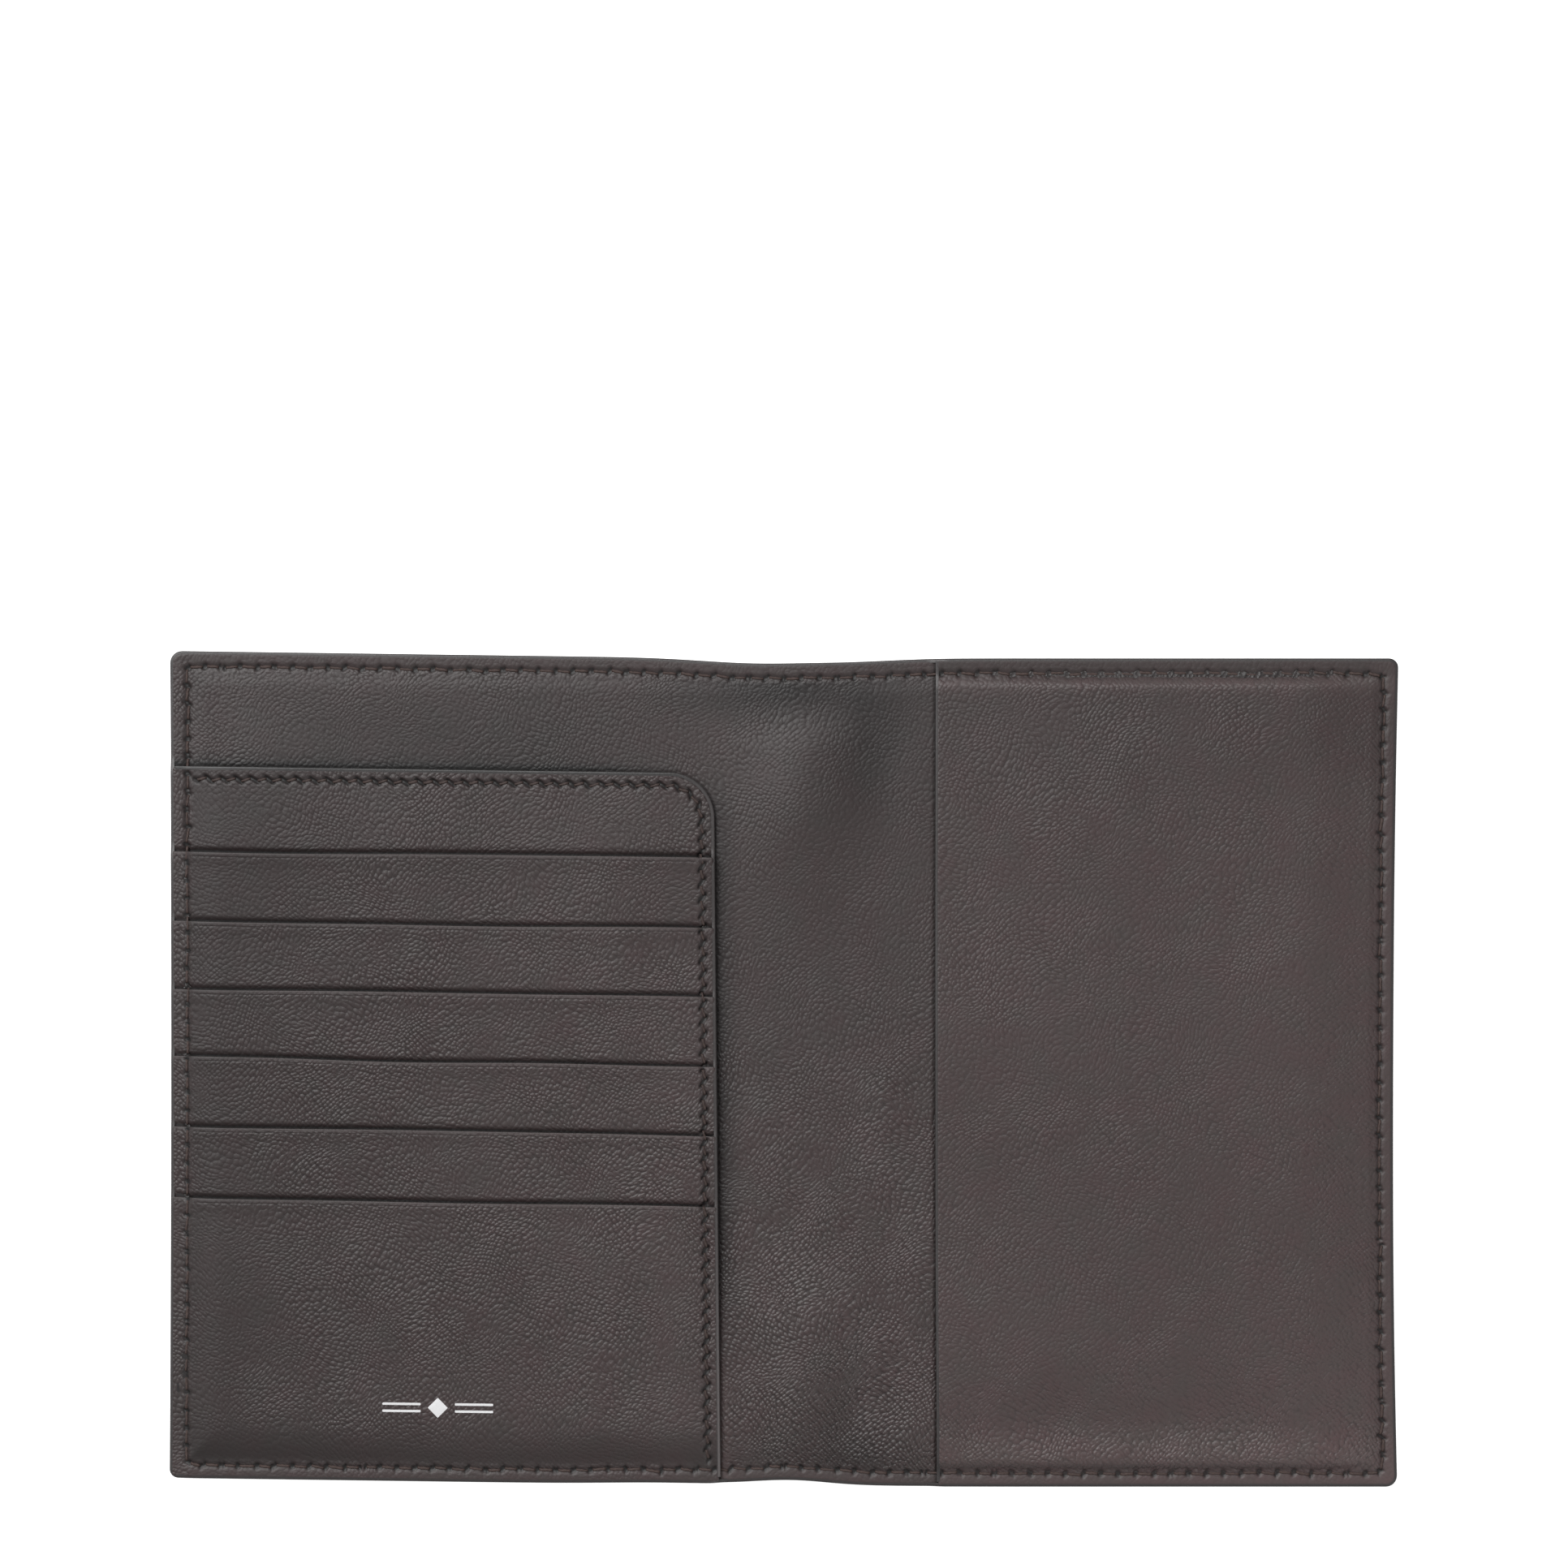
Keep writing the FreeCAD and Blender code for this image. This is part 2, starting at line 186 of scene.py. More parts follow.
def sleeve_lay(x, y):
    """The sleeve's mouth isn't quite square to the cover."""
    share = (RIGHT - x) / (RIGHT - SLEEVE_LEFT)
    return x - share * (SLEEVE_LEAN * y + 0.1), y


MOUTH_LIFTS = (0.3, 0.0, 0.0, 0.1, 0.16, 0.03)
MOUTH_SLANTS = (0.001, -0.0005, -0.003, -0.0045, -0.0045, -0.0045)
MOUTH_WAVES = [Waves(40 + index, 45.0, 5) for index in range(len(MOUTHS))]
PANEL_MIDDLE = (LEFT + PANEL_RIGHT) / 2


def mouth_shift(index, x):
    """How far a slot's mouth lies above its place on the pattern."""
    slant = MOUTH_SLANTS[index] * (x - PANEL_MIDDLE)
    return MOUTH_LIFTS[index] + slant + 0.09 * MOUTH_WAVES[index](x)


def mouth_line(index, x):
    return MOUTHS[index] + mouth_shift(index, x)


def strip_lay(index):
    """Moves a strip's mouth, and less and less of it towards its hidden foot."""

    def lay(x, y):
        share = smooth(MOUTHS[index] - 16, MOUTHS[index], y)
        return panel_lay(x, y + share * mouth_shift(index, x))

    return lay


# --- Outlines ---
RIM = (0.0, 0.06, 0.16, 0.3)  # rings that round a cut edge over
RIM_DROP = 0.16
JOIN_REACH = 20.0
ARC_STEPS = 9


class Cut:
    """A sheet's outline: a rectangle with rounded corners, from the low left round.

    joined is -1 or 1 where the left or right side is no edge, but runs on into the
    other half of the same sheet.
    """

    def __init__(self, x0, x1, y0, y1, radii=(0.6, 0.6, 0.6, 0.6), joined=0):
        self.x0, self.x1, self.y0, self.y1 = x0, x1, y0, y1
        self.radii, self.joined = radii, joined
        self.far_x0 = x0 - JOIN_REACH if joined < 0 else x0
        self.far_x1 = x1 + JOIN_REACH if joined > 0 else x1

    def depth(self, x, y):
        """How far inside the outline a point lies."""
        near_x = np.minimum(x - self.far_x0, self.far_x1 - x)
        near_y = np.minimum(y - self.y0, self.y1 - y)
        on_left = x - self.far_x0 < self.far_x1 - x
        on_low = y - self.y0 < self.y1 - y
        low_left, low_right, high_right, high_left = self.radii
        low = np.where(on_left, low_left, low_right)
        high = np.where(on_left, high_left, high_right)
        radius = np.where(on_low, low, high)
        round_depth = radius - np.hypot(radius - near_x, radius - near_y)
        in_corner = (near_x < radius) & (near_y < radius)
        return np.where(in_corner, round_depth, np.minimum(near_x, near_y))

    def closed_walk(self, inset, step):
        arcs, turns = [], []
        for index, radius in enumerate(self.radii):
            first = math.pi * (1 + index / 2)
            turn = np.linspace(first, first + math.pi / 2, ARC_STEPS)
            normal = np.stack([np.cos(turn), np.sin(turn)], 1)
            x = self.far_x0 + radius if index in (0, 3) else self.far_x1 - radius
            y = self.y0 + radius if index < 2 else self.y1 - radius
            arcs.append(np.array([x, y]) + (radius - inset) * normal)
            turns.append(normal)
        points, normals = [], []
        lengths = (self.far_x1 - self.far_x0, self.y1 - self.y0) * 2
        for index in range(4):
            after = (index + 1) % 4
            start, end = arcs[index][-1], arcs[after][0]
            run = lengths[index] - self.radii[index] - self.radii[after]
            share = np.linspace(0, 1, max(2, round(run / step) + 1))[1:-1, None]
            points += [arcs[index], start + (end - start) * share]
            normals += [turns[index], np.repeat(turns[index][-1:], len(share), 0)]
        return np.concatenate(points), np.concatenate(normals)

    def walk(self, inset=0.0, step=0.5):
        """Points and outward normals along the edge, moved in by inset.

        It goes round anticlockwise. Where a side is joined, the walk is open, and
        its two ends are on that side.
        """
        points, normals = self.closed_walk(inset, step)
        if not self.joined:
            return points, normals
        join = self.x1 if self.joined > 0 else self.x0
        kept = np.flatnonzero((join - points[:, 0]) * self.joined > 0.05)
        breaks = np.flatnonzero(np.diff(kept) > 1)
        if len(breaks):
            kept = np.roll(kept, -(breaks[0] + 1))
        low_end = [[join, self.y0 + inset]], [[0.0, -1.0]]
        high_end = [[join, self.y1 - inset]], [[0.0, 1.0]]
        first, last = (high_end, low_end) if self.joined > 0 else (low_end, high_end)
        return tuple(map(np.concatenate, zip(first, (points[kept], normals[kept]), last)))

    def ring(self, step):
        """The whole outline as a closed ring."""
        points, _ = self.walk(0.0, step)
        if not self.joined:
            return points
        steps = np.arange(self.y0 + 1.0, self.y1 - 0.9, step)
        insets = np.array(RIM[1:])
        heights = np.concatenate([self.y0 + insets, steps, self.y1 - insets[::-1]])
        if self.joined < 0:
            heights = heights[::-1]
        side = np.stack([np.full(len(heights), points[0, 0]), heights], 1)
        return np.concatenate([points, side])

    def inner_rings(self, step):
        within = slice(1, -1) if self.joined else slice(None)
        return np.concatenate([self.walk(inset, step)[0][within] for inset in RIM[1:]])


# --- Meshes ---
class Shape:
    """Vertices on the pattern with their faces, how dark they are, mostly as painted light and
    shade, and how grained they are.
    """

    def __init__(self, points, faces, shade=1.0, grain=1.0):
        self.points = np.asarray(points, float)
        self.faces = faces
        self.shade = np.broadcast_to(shade, len(self.points))
        self.grain = np.broadcast_to(grain, len(self.points))


def add_object(name, data, location=(0, 0, 0)):
    added = bpy.data.objects.new(name, data)
    added.location = location
    bpy.context.scene.collection.objects.link(added)
    return added


SHARP_ANGLE = 66.0


def build(name, shapes, slot, offset=(0.0, 0.0, 0.0)):
    """Joins shapes into one object, in the material of its slot.

    offset slides the leather's grain under the piece.
    """
    points, faces, count = [], [], 0
    for shape in shapes:
        points.append(shape.points)
        faces += [[index + count for index in face] for face in shape.faces]
        count += len(shape.points)
    points = np.concatenate(points)
    x, y = settle(points[:, 0], points[:, 1])
    placed = np.stack([x, y, points[:, 2]], 1) * MM
    mesh = bpy.data.meshes.new(name)
    mesh.from_pydata(placed.tolist(), [], faces)
    place = mesh.attributes.new("place", "FLOAT_VECTOR", "POINT")
    place.data.foreach_set("vector", (points + offset).astype(np.float32).ravel())
    for key in ("shade", "grain"):
        values = np.concatenate([getattr(shape, key) for shape in shapes])
        attribute = mesh.attributes.new(key, "FLOAT", "POINT")
        attribute.data.foreach_set("value", values.astype(np.float32))
    mesh.shade_smooth()
    mesh.set_sharp_from_angle(angle=math.radians(SHARP_ANGLE))
    mesh.materials.append(MATERIALS[slot])
    piece = add_object(name, mesh)
    return piece


FINEST = 0.25


def lattice(cut, wanted, coarsest):
    """Points inside a cut, in hexagonal order, as close together as is wanted there."""
    found = []
    spacing = FINEST
    while spacing <= coarsest:
        rows = np.arange(cut.y0, cut.y1, spacing * math.sqrt(0.75))
        columns = np.arange(cut.x0, cut.x1, spacing)
        x, y = np.meshgrid(columns, rows)
        x = (x + (np.arange(len(rows)) % 2)[:, None] * spacing / 2).ravel()
        y = y.ravel()
        want = np.clip(wanted(x, y), FINEST, coarsest)
        level = FINEST * 2.0 ** np.floor(np.log2(want / FINEST) + 1e-9)
        clear = cut.depth(x, y) > RIM[-1] + 0.4 * spacing
        clear &= (x > cut.x0 + 0.4 * spacing) & (x < cut.x1 - 0.4 * spacing)
        keep = clear & (np.abs(level - spacing) < 1e-6)
        found.append(np.stack([x[keep], y[keep]], 1))
        spacing *= 2
    return np.concatenate(found)


def triangulate(points, ring_count):
    """Delaunay triangles inside the ring that the first points make."""
    edges = [(i, (i + 1) % ring_count) for i in range(ring_count)]
    seeds = [Vector(point) for point in points]
    made = delaunay_2d_cdt(seeds, edges, [], 1, 1e-6)
    places = np.array([tuple(v) for v in made[0]])
    new_index = {}
    for index, sources in enumerate(made[3]):
        for source in sources:
            new_index[source] = index
    ring = [new_index[i] for i in range(ring_count)]
    faces = np.array(made[2])
    a, b, c = places[faces[:, 0]], places[faces[:, 1]], places[faces[:, 2]]
    area = (b[:, 0] - a[:, 0]) * (c[:, 1] - a[:, 1]) - (b[:, 1] - a[:, 1]) * (c[:, 0] - a[:, 0])
    faces = faces[np.abs(area) > 1e-9]
    turned = area[np.abs(area) > 1e-9] < 0
    faces[turned] = faces[turned][:, ::-1]
    return places, faces, ring


def stay(x, y):
    return x, y


BEND_ZONE = 8.0  # the leather bends within this distance of the spine's middle


def at_bends(x, y):
    """A coarse mesh, with points close enough together where the spine bends."""
    return np.where(np.abs(x) < BEND_ZONE, 0.5, 4.0)


def plain(x, y):
    return np.zeros_like(x), np.ones_like(x), np.ones_like(x)


def sheet(
    cut, skin, thickness, wanted=None, relief=plain, lay=stay,
    facing=1, coarsest=2.0, step=0.5, wall_shade=0.5, extra=None,
):
    """A closed sheet of leather.

    skin is the height of its seen side, relief adds seams and creases to that side,
    and facing is 1 where the seen side is the upper one. A side that the wallet lies
    on has no bulges.
    """
    ring_points = cut.ring(step)
    wanted = wanted or (lambda x, y: np.full_like(x, coarsest))
    sets = [ring_points, cut.inner_rings(step), lattice(cut, wanted, coarsest)]
    if extra is not None:
        sets.append(extra)
    flat, faces, ring = triangulate(np.concatenate(sets), len(ring_points))
    depth = np.clip(cut.depth(flat[:, 0], flat[:, 1]), 0, None)
    x, y = lay(flat[:, 0], flat[:, 1])
    dz, shade, grain = relief(x, y)
    dz = np.minimum(dz, 0.0) if facing < 0 else dz
    rounding = 1 - np.clip(depth / RIM[-1], 0, 1)
    drop = RIM_DROP * (1 - np.sqrt(np.clip(1 - rounding**2, 0, 1)))
    drop = np.minimum(drop, thickness * 0.4)
    z = skin(x, y) + facing * (dz - drop)
    seen = np.stack([x, y, z], 1)

    back_flat = np.concatenate([ring_points, lattice(cut, at_bends, 4.0)])
    back_flat, back_faces, back_ring = triangulate(back_flat, len(ring_points))
    x, y = lay(back_flat[:, 0], back_flat[:, 1])
    back = np.stack([x, y, skin(x, y) - facing * thickness], 1)
    back_faces = back_faces + len(seen)
    ring, back_ring = np.array(ring), np.array(back_ring) + len(seen)
    walls = np.stack([back_ring, np.roll(back_ring, -1), np.roll(ring, -1), ring], 1)
    sides = faces[:, ::facing], back_faces[:, ::-facing], walls[:, ::facing]
    return Shape(
        np.concatenate([seen, back]),
        [face for side in sides for face in side.tolist()],
        np.concatenate([shade, np.full(len(back), wall_shade)]),
        np.concatenate([grain, np.ones(len(back))]),
    )


# --- Heights of the layers ---
outline = Cut(LEFT, RIGHT, BOTTOM, TOP, CORNER_RADII)
panel_outline = Cut(LEFT - 9, PANEL_RIGHT, BOTTOM - 9, PANEL_TOP, (1, 1, PANEL_RADIUS, 1))
cover_waves = Waves(3, 42.0)
sleeve_waves = Waves(7, 55.0)
panel_waves = Waves(11, 38.0)

# Swells and hollows of the lining round the spine: centre, reach and height.
SPINE_SWELLS = (
    ((2.5, 46.0), (8.5, 14.0), 1.25),
    ((17.0, 58.0), (5.0, 14.0), -0.35),
    ((4.0, -49.0), (9.0, 13.0), 1.0),
    ((13.5, -60.0), (6.0, 9.0), -0.7),
    ((25.0, -62.0), (4.5, 9.0), 0.35),
)
SWELL_FLOOR = 0.25
SEAM_REST = 0.45  # the share of the board's height that is left at the sewn margin
SPINE_SEAM_REST = 0.9  # and at the spine's top, where only a strip lies inside


def spine_swell(x, y):
    return np.clip(spots(SPINE_SWELLS, x, y, SWELL_FLOOR * hump(x, 4, 26)), -0.1, None)


def lining_skin(x, y):
    """The lining's upper side: low at the seam, and lifted by the board inside it."""
    depth = outline.depth(x, y)
    inside = smooth(3.0, 6.0, depth)
    swell = spine_swell(x, y) + 0.07 * cover_waves(x, y)
    rest = SEAM_REST + (SPINE_SEAM_REST - SEAM_REST) * hump(x, 3.0, 11.0) * smooth(0, 40, y)
    firm = BOARD * (rest + (1 - rest) * inside)
    high = smooth(0, 40, y)
    freed = smooth(3.0 + 2.5 * high, 10.0 + 6.0 * high, depth)
    return SHELL + LINING + firm + freed * np.clip(swell, -0.05, None)


def backing_skin(x, y):
    """The card panel's backing, free of the lining except in its sewn margins."""
    from_sewn = np.minimum(x - LEFT, y - BOTTOM)
    gap = DOCUMENT_GAP * smooth(3.2, 9.0, from_sewn) * (0.8 + 0.2 * panel_waves(x, y))
    return lining_skin(x, y) + BACKING + PLAY + gap


def strip_rise(index, y):
    """A strip's upper side above the backing's, as the slanted strips overlap."""
    low, high = corner(STRIPS[index], 0), corner(STRIPS[index], 1)
    if index == FRONT:
        foot = POCKET + FRONT_FOOT
    else:
        foot = POCKET + low.z - BACKING_TOP
    return foot + (high.z - BACKING_TOP - foot) * (y - low.y) / (high.y - low.y)


LIP_LIFT = 0.14


def strip_skin(index):
    def skin(x, y):
        lip = LIP_LIFT * smooth(3.0, 0.0, mouth_line(index, x) - y)
        hold = smooth(1.5, 8.0, np.minimum(x - LEFT, PANEL_RIGHT - x))
        pressed = 0.35 + 0.65 * smooth(1.5, 4.0, x - LEFT)
        rise = strip_rise(index, y) * pressed
        return backing_skin(x, y) + rise + lip * (0.3 + 0.7 * hold)

    return skin


def sleeve_skin(x, y):
    """The sleeve: sewn down on three sides, and puffed between them."""
    from_top, from_bottom, from_right = TOP - y, y - BOTTOM, RIGHT - x
    sewn = np.minimum(np.minimum(from_top, from_bottom), from_right)
    mouth = 0.4 + 0.6 * smooth(0, 30, x - SLEEVE_LEFT)
    puff = SLEEVE_GAP * smooth(2.5, 24.0, from_bottom) * smooth(2.8, 5.0, from_top)
    puff = puff * smooth(2.5, 16.0, from_right) * mouth
    firm = BOARD * (1 - SEAM_REST) * (smooth(3.0, 4.6, sewn) - smooth(3.0, 6.0, sewn))
    ridge = 0.64 * smooth(11.0, 3.9, from_bottom) * smooth(2.8, 4.2, from_bottom)
    ridge = ridge * smooth(2, 14, from_right) * (0.8 + 0.2 * smooth(0, 12, x - SLEEVE_LEFT))
    uneven = 0.08 * sleeve_waves(x, y) * smooth(5.0, 20.0, sewn)
    return lining_skin(x, y) + SLEEVE + PLAY + puff + firm + ridge + uneven


def panel_top(x, y):
    """The card panel's upper side."""
    height = backing_skin(x, y)
    for index in range(len(STRIPS)):
        height = np.where(y <= mouth_line(index, x), strip_skin(index)(x, y), height)
    return height


def skyline(x, y):
    """The wallet's whole upper side."""
    on_panel = (x <= PANEL_RIGHT) & (y <= PANEL_TOP)
    height = np.where(on_panel, panel_top(x, y), lining_skin(x, y))
    return np.where(x >= SLEEVE_LEFT, sleeve_skin(x, y), height)


# --- Seams: where each thread goes in and comes out ---
def stitches(path, pitch, gap, slant, seed, wander):
    """Threads between even holes along a path, each turned a little: start and end points."""
    steps = np.hypot(*np.diff(path, axis=0).T)
    length = np.concatenate([[0], np.cumsum(steps)])
    marks = np.linspace(0, length[-1], round(length[-1] / pitch) + 1)
    holes = np.stack([np.interp(marks, length, path[:, axis]) for axis in (0, 1)], 1)
    draw = np.random.default_rng(seed)
    run = holes[1:] - holes[:-1]
    run /= np.hypot(run[:, 0], run[:, 1])[:, None]
    side = np.stack([-run[:, 1], run[:, 0]], 1)
    jitter = draw.normal(0, wander, (len(run), 4))
    start = holes[:-1] + run * (gap / 2 + jitter[:, 0:1]) + side * (slant + jitter[:, 1:2])
    end = holes[1:] - run * (gap / 2 + jitter[:, 2:3]) + side * (-slant + jitter[:, 3:4])
    return np.concatenate([start, end], 1)


def cover_cut(insets, radii, joined=0):
    """The cover's outline moved in by insets: the whole, or a half that is joined."""
    x0 = 0.0 if joined < 0 else LEFT + insets["left"]
    x1 = 0.0 if joined > 0 else RIGHT - insets["right"]
    return Cut(x0, x1, BOTTOM + insets["bottom"], TOP - insets["top"], radii, joined)


def perimeter_seam(insets, joined, seed, wander):
    cut = cover_cut(insets, SEAM_RADII, joined)
    return stitches(cut.walk(0.0, 0.4)[0], SEAM_PITCH, SEAM_GAP, STITCH_TURN, seed, wander)


def panel_corner(inset, turn):
    """Points and normals round the card panel's free corner."""
    radius = PANEL_RADIUS - inset
    centre = np.array([PANEL_RIGHT - inset - radius, PANEL_TOP - inset - radius])
    normals = np.stack([np.cos(turn), np.sin(turn)], 1)
    return centre + radius * normals, normals


def panel_seam():
    start = (LEFT + SEAM_INSETS["left"] + 1.2, PANEL_TOP - PANEL_SEAM_INSET)
    finish = (PANEL_RIGHT - PANEL_SEAM_INSET, BOTTOM + SEAM_INSETS["bottom"] + 1.5)
    arc, _ = panel_corner(PANEL_SEAM_INSET, np.linspace(math.pi / 2, 0, 24))
    path = np.concatenate([[start], arc, [finish]])
    rows = stitches(path, PANEL_SEAM_PITCH, PANEL_SEAM_GAP, PANEL_STITCH_TURN, 21, 0.05)
    for x, y in ((0, 1), (2, 3)):
        rows[:, x], rows[:, y] = panel_lay(rows[:, x], rows[:, y])
    return rows


inner_left = perimeter_seam(SEAM_INSETS, 1, 31, SEAM_WANDER)
inner_right = perimeter_seam(SEAM_INSETS, -1, 32, SEAM_WANDER)
outer_insets = dict.fromkeys(SEAM_INSETS, OUTER_SEAM_INSET)
outer_left = perimeter_seam(outer_insets, 1, 33, OUTER_SEAM_WANDER)
outer_right = perimeter_seam(outer_insets, -1, 34, OUTER_SEAM_WANDER)
panel_threads = panel_seam()
inner_seam_cut = cover_cut(SEAM_INSETS, SEAM_RADII)


HOLE_DEPTH = 0.3
DEEPEST = 0.42  # no hole comes out of the leather's back


def seam_relief(threads, depth=0.16, width=0.40, hole_turn=0.0, dark=0.28, hole_long=0.46):
    """What a row of threads does to the leather: a trench under each, and needle holes.

    Between two threads the skin bulges up a little, by a different amount each time.
    The trenches and needle holes are painted darker as shade, and the bulges lighter
    as painted glints.
    """
    bulges = np.random.default_rng(len(threads)).uniform(0.0, 1.0, (len(threads), 3))

    def relief(x, y):
        dip, hole, pucker = np.zeros_like(x), np.zeros_like(x), np.zeros_like(x)
        bulge = np.zeros_like(x)
        order = np.argsort(x, kind="stable")
        sorted_x = x[order]
        for (ax, ay, bx, by), (rise, aside, long) in zip(threads, bulges):
            middle_x, reach = (ax + bx) / 2, 2.6
            low, high = np.searchsorted(sorted_x, [middle_x - reach, middle_x + reach])
            near = order[low:high]
            near = near[np.abs(y[near] - (ay + by) / 2) < reach]
            if not len(near):
                continue
            length = math.hypot(bx - ax, by - ay)
            ux, uy = (bx - ax) / length, (by - ay) / length
            px, py = x[near] - ax, y[near] - ay
            t, s = px * ux + py * uy, py * ux - px * uy
            ends = smooth(-0.22, 0.3, t) * smooth(length + 0.22, length - 0.3, t)
            dip[near] += ends * hump(s, 0, width) * (0.6 + 0.4 * rise)
            pucker[near] += ends * hump(np.abs(s), width * 2.1, 0.32)
            across = s - 0.5 * (aside - 0.5)
            bulge[near] += rise**2 * hump(t, -0.3, 0.16) * hump(across, 0, 0.2 + 0.2 * long)
            for at in (-0.1, length + 0.1):
                turned_t = (t - at) * math.cos(hole_turn) - s * math.sin(hole_turn)
                turned_s = (t - at) * math.sin(hole_turn) + s * math.cos(hole_turn)
                hole[near] += 1.5 * hump(turned_t, 0, 0.27) * hump(turned_s, 0, hole_long)
        dip, hole = np.clip(dip, 0, 1), np.clip(hole, 0, 1)
        at_right, at_left = x > RIGHT - 4.0, x < LEFT + 4.0
        at_bottom = (y < BOTTOM + 4.0) & (x > PANEL_RIGHT)
        trench = depth * (1 - 0.4 * at_bottom) * dip
        dz = np.maximum(-trench - HOLE_DEPTH * hole, -DEEPEST)
        dz += 0.03 * pucker * (1 - at_bottom) + 0.05 * bulge
        # Painted shade in trenches and holes, stronger on the left and right sides and weaker
        # along the bottom; painted glints on the bulges, strongest on the right and bottom.
        darkened = dark + 0.28 * at_right + 0.22 * at_left - 0.12 * at_bottom
        glint_gain = 1.3 + 2.4 * at_right + 1.6 * at_bottom
        shade = (1.0 - darkened * dip - 0.9 * hole) * (1 + glint_gain * bulge)
        grain = 1.0 - 0.8 * np.clip(dip + hole, 0, 1)
        return dz, np.clip(shade, 0.06, 2.8), grain

    return relief


def add_reliefs(*reliefs):
    """Heights add up, and what darkens or smooths the leather multiplies."""

    def relief(x, y):
        dz, shade, grain = zip(*(part(x, y) for part in reliefs))
        return sum(dz), np.prod(shade, 0), np.prod(grain, 0)

    return relief


def seen_only(relief, seen):
    """Keeps relief to the part of a sheet that no other sheet covers."""

    def kept(x, y):
        shown = seen(x, y)
        return [np.where(shown, part, rest) for part, rest in zip(relief(x, y), (0, 1, 1))]

    return kept


MARGIN_GRAIN = 0.35


def margin_relief(x, y):
    """Outside its seam, the cover's rim is pressed smooth and sinks at the threads."""
    inset = inner_seam_cut.depth(x, y)
    edge = smooth(0.3, -0.5, inset)
    line = hump(inset, 0, 1.0)
    grain = 1 - (1 - MARGIN_GRAIN) * edge * (1 - 0.7 * smooth(LEFT + 5, LEFT + 2, x))
    low = smooth(BOTTOM + 6, BOTTOM + 3, y) + 0.8 * smooth(RIGHT - 6, RIGHT - 3, x)
    low = low - 0.5 * smooth(LEFT + 5, LEFT + 2, x)
    # Painted light and shade on the rim outside the seam: lighter along the bottom and right, a
    # little darker elsewhere and most on the left, and darker along the seam line.
    shade = (1 + (0.2 * low - 0.09) * edge) * (1 - 0.06 * line)
    return -0.05 * line, shade, grain


def slot_opens(index, x):
    """How strongly a slot's painted light and shade show: the last one fades in the sewn margin.
    """
    sewn = 0.0 if index == FRONT else 0.65
    reach = smooth(2.6, 4.0, np.minimum(x - LEFT, (PANEL_RIGHT + 0.8 - x) * 3))
    return sewn + (1 - sewn) * reach


def mouth_relief(index):
    """A slot's mouth: a rounded lip with a painted highlight, painted shade right at the mouth,
    and a faint crease pressed below it, painted a little darker.
    """

    def relief(x, y):
        down = mouth_line(index, x) - y
        crease = hump(down, 0.78, 0.12)
        lip = hump(down, 0.3, 0.16)
        free = slot_opens(index, x)
        dark = smooth(0.12, 0.0, down) * free
        shade = (1 + 0.22 * lip * free) * (1 - 0.15 * crease) * (1 - 0.7 * dark)
        grain = 1 - 0.75 * smooth(0.75, 0.35, down)
        return -0.05 * crease, shade, grain

    return relief


def slot_relief(index):
    """The leather behind a slot's mouth dips into the slot, and lies in its shadow."""

    def relief(x, y):
        above = y - mouth_line(index, x)
        dip = smooth(0.95, 0.1, above)
        dark = smooth(0.46, 0.1, above)
        shade = (1 - 0.94 * dark * slot_opens(index, x)) * (1 - 0.08 * dip)
        return -0.25 * dip, shade, 1 - 0.8 * dip

    return relief


def panel_outside(x, y):
    """How far outside the card panel's leaning outline a point lies."""
    return -panel_outline.depth(x + PANEL_LEAN * y - PANEL_SHIFT, y)


PANEL_SHADE = 0.54


def beside_panel(x, y):
    """The lining dips where the card panel's free edges lie over it, and gets a painted shadow
    beside them and a painted dark line above the panel's top, with painted light near the foot of
    its side.
    """
    outside = panel_outside(x, y)
    near = smooth(0.5, 0.0, outside)
    at_side = smooth(PANEL_TOP + 2, PANEL_TOP - 8, y) * smooth(-58, -28, y)
    at_top = 0.8 * smooth(-18, -38, x) * smooth(4, 0, np.abs(y - PANEL_TOP - 1))
    wide = smooth(5.2, 0.3, outside) * np.maximum(at_side, at_top)
    line = smooth(1.5, 0.5, outside) * smooth(-15, -34, x) * (y > PANEL_TOP - 3)
    foot = smooth(2.2, 0.1, outside) * smooth(-25, -58, y)
    shade = (1 - 0.2 * near) * (1 - PANEL_SHADE * wide) * (1 - 0.8 * line) * (1 + 0.7 * foot)
    return -0.04 * near, shade, 1 - 0.6 * near


def within_seam(x, y, edge, shade, grain):
    """Keeps painted light and shade, and grain changes, to the leather inside the seam."""
    inside = smooth(edge, 1.2, inner_seam_cut.depth(x, y))
    return np.zeros_like(x), 1 - (1 - shade) * inside, 1 - (1 - grain) * inside


# Patches of painted light and shade on the lining: centre, reach and change in brightness.
PAINTED_LIGHT_AND_SHADE_PATCHES = (
    ((-1.0, 65.5), (15.0, 5.0), -0.5),
    ((15.0, 57.0), (7.0, 13.0), -0.3),
    ((-45.0, 56.0), (14.0, 4.5), -0.14),
    ((-70.0, 64.0), (14.0, 2.5), 0.08),
    ((4.0, -66.0), (14.0, 5.0), -0.2),
    ((24.0, -61.0), (5.0, 8.0), 0.12),
    ((14.0, -64.5), (8.5, 7.0), -0.36),
    ((-64.0, 56.0), (22.0, 10.0), -0.13),
    ((-11.0, 55.0), (8.0, 7.0), 0.12),
    ((-2.0, 18.0), (12.0, 30.0), -0.13),
    ((16.0, 30.0), (8.0, 30.0), -0.06),
)


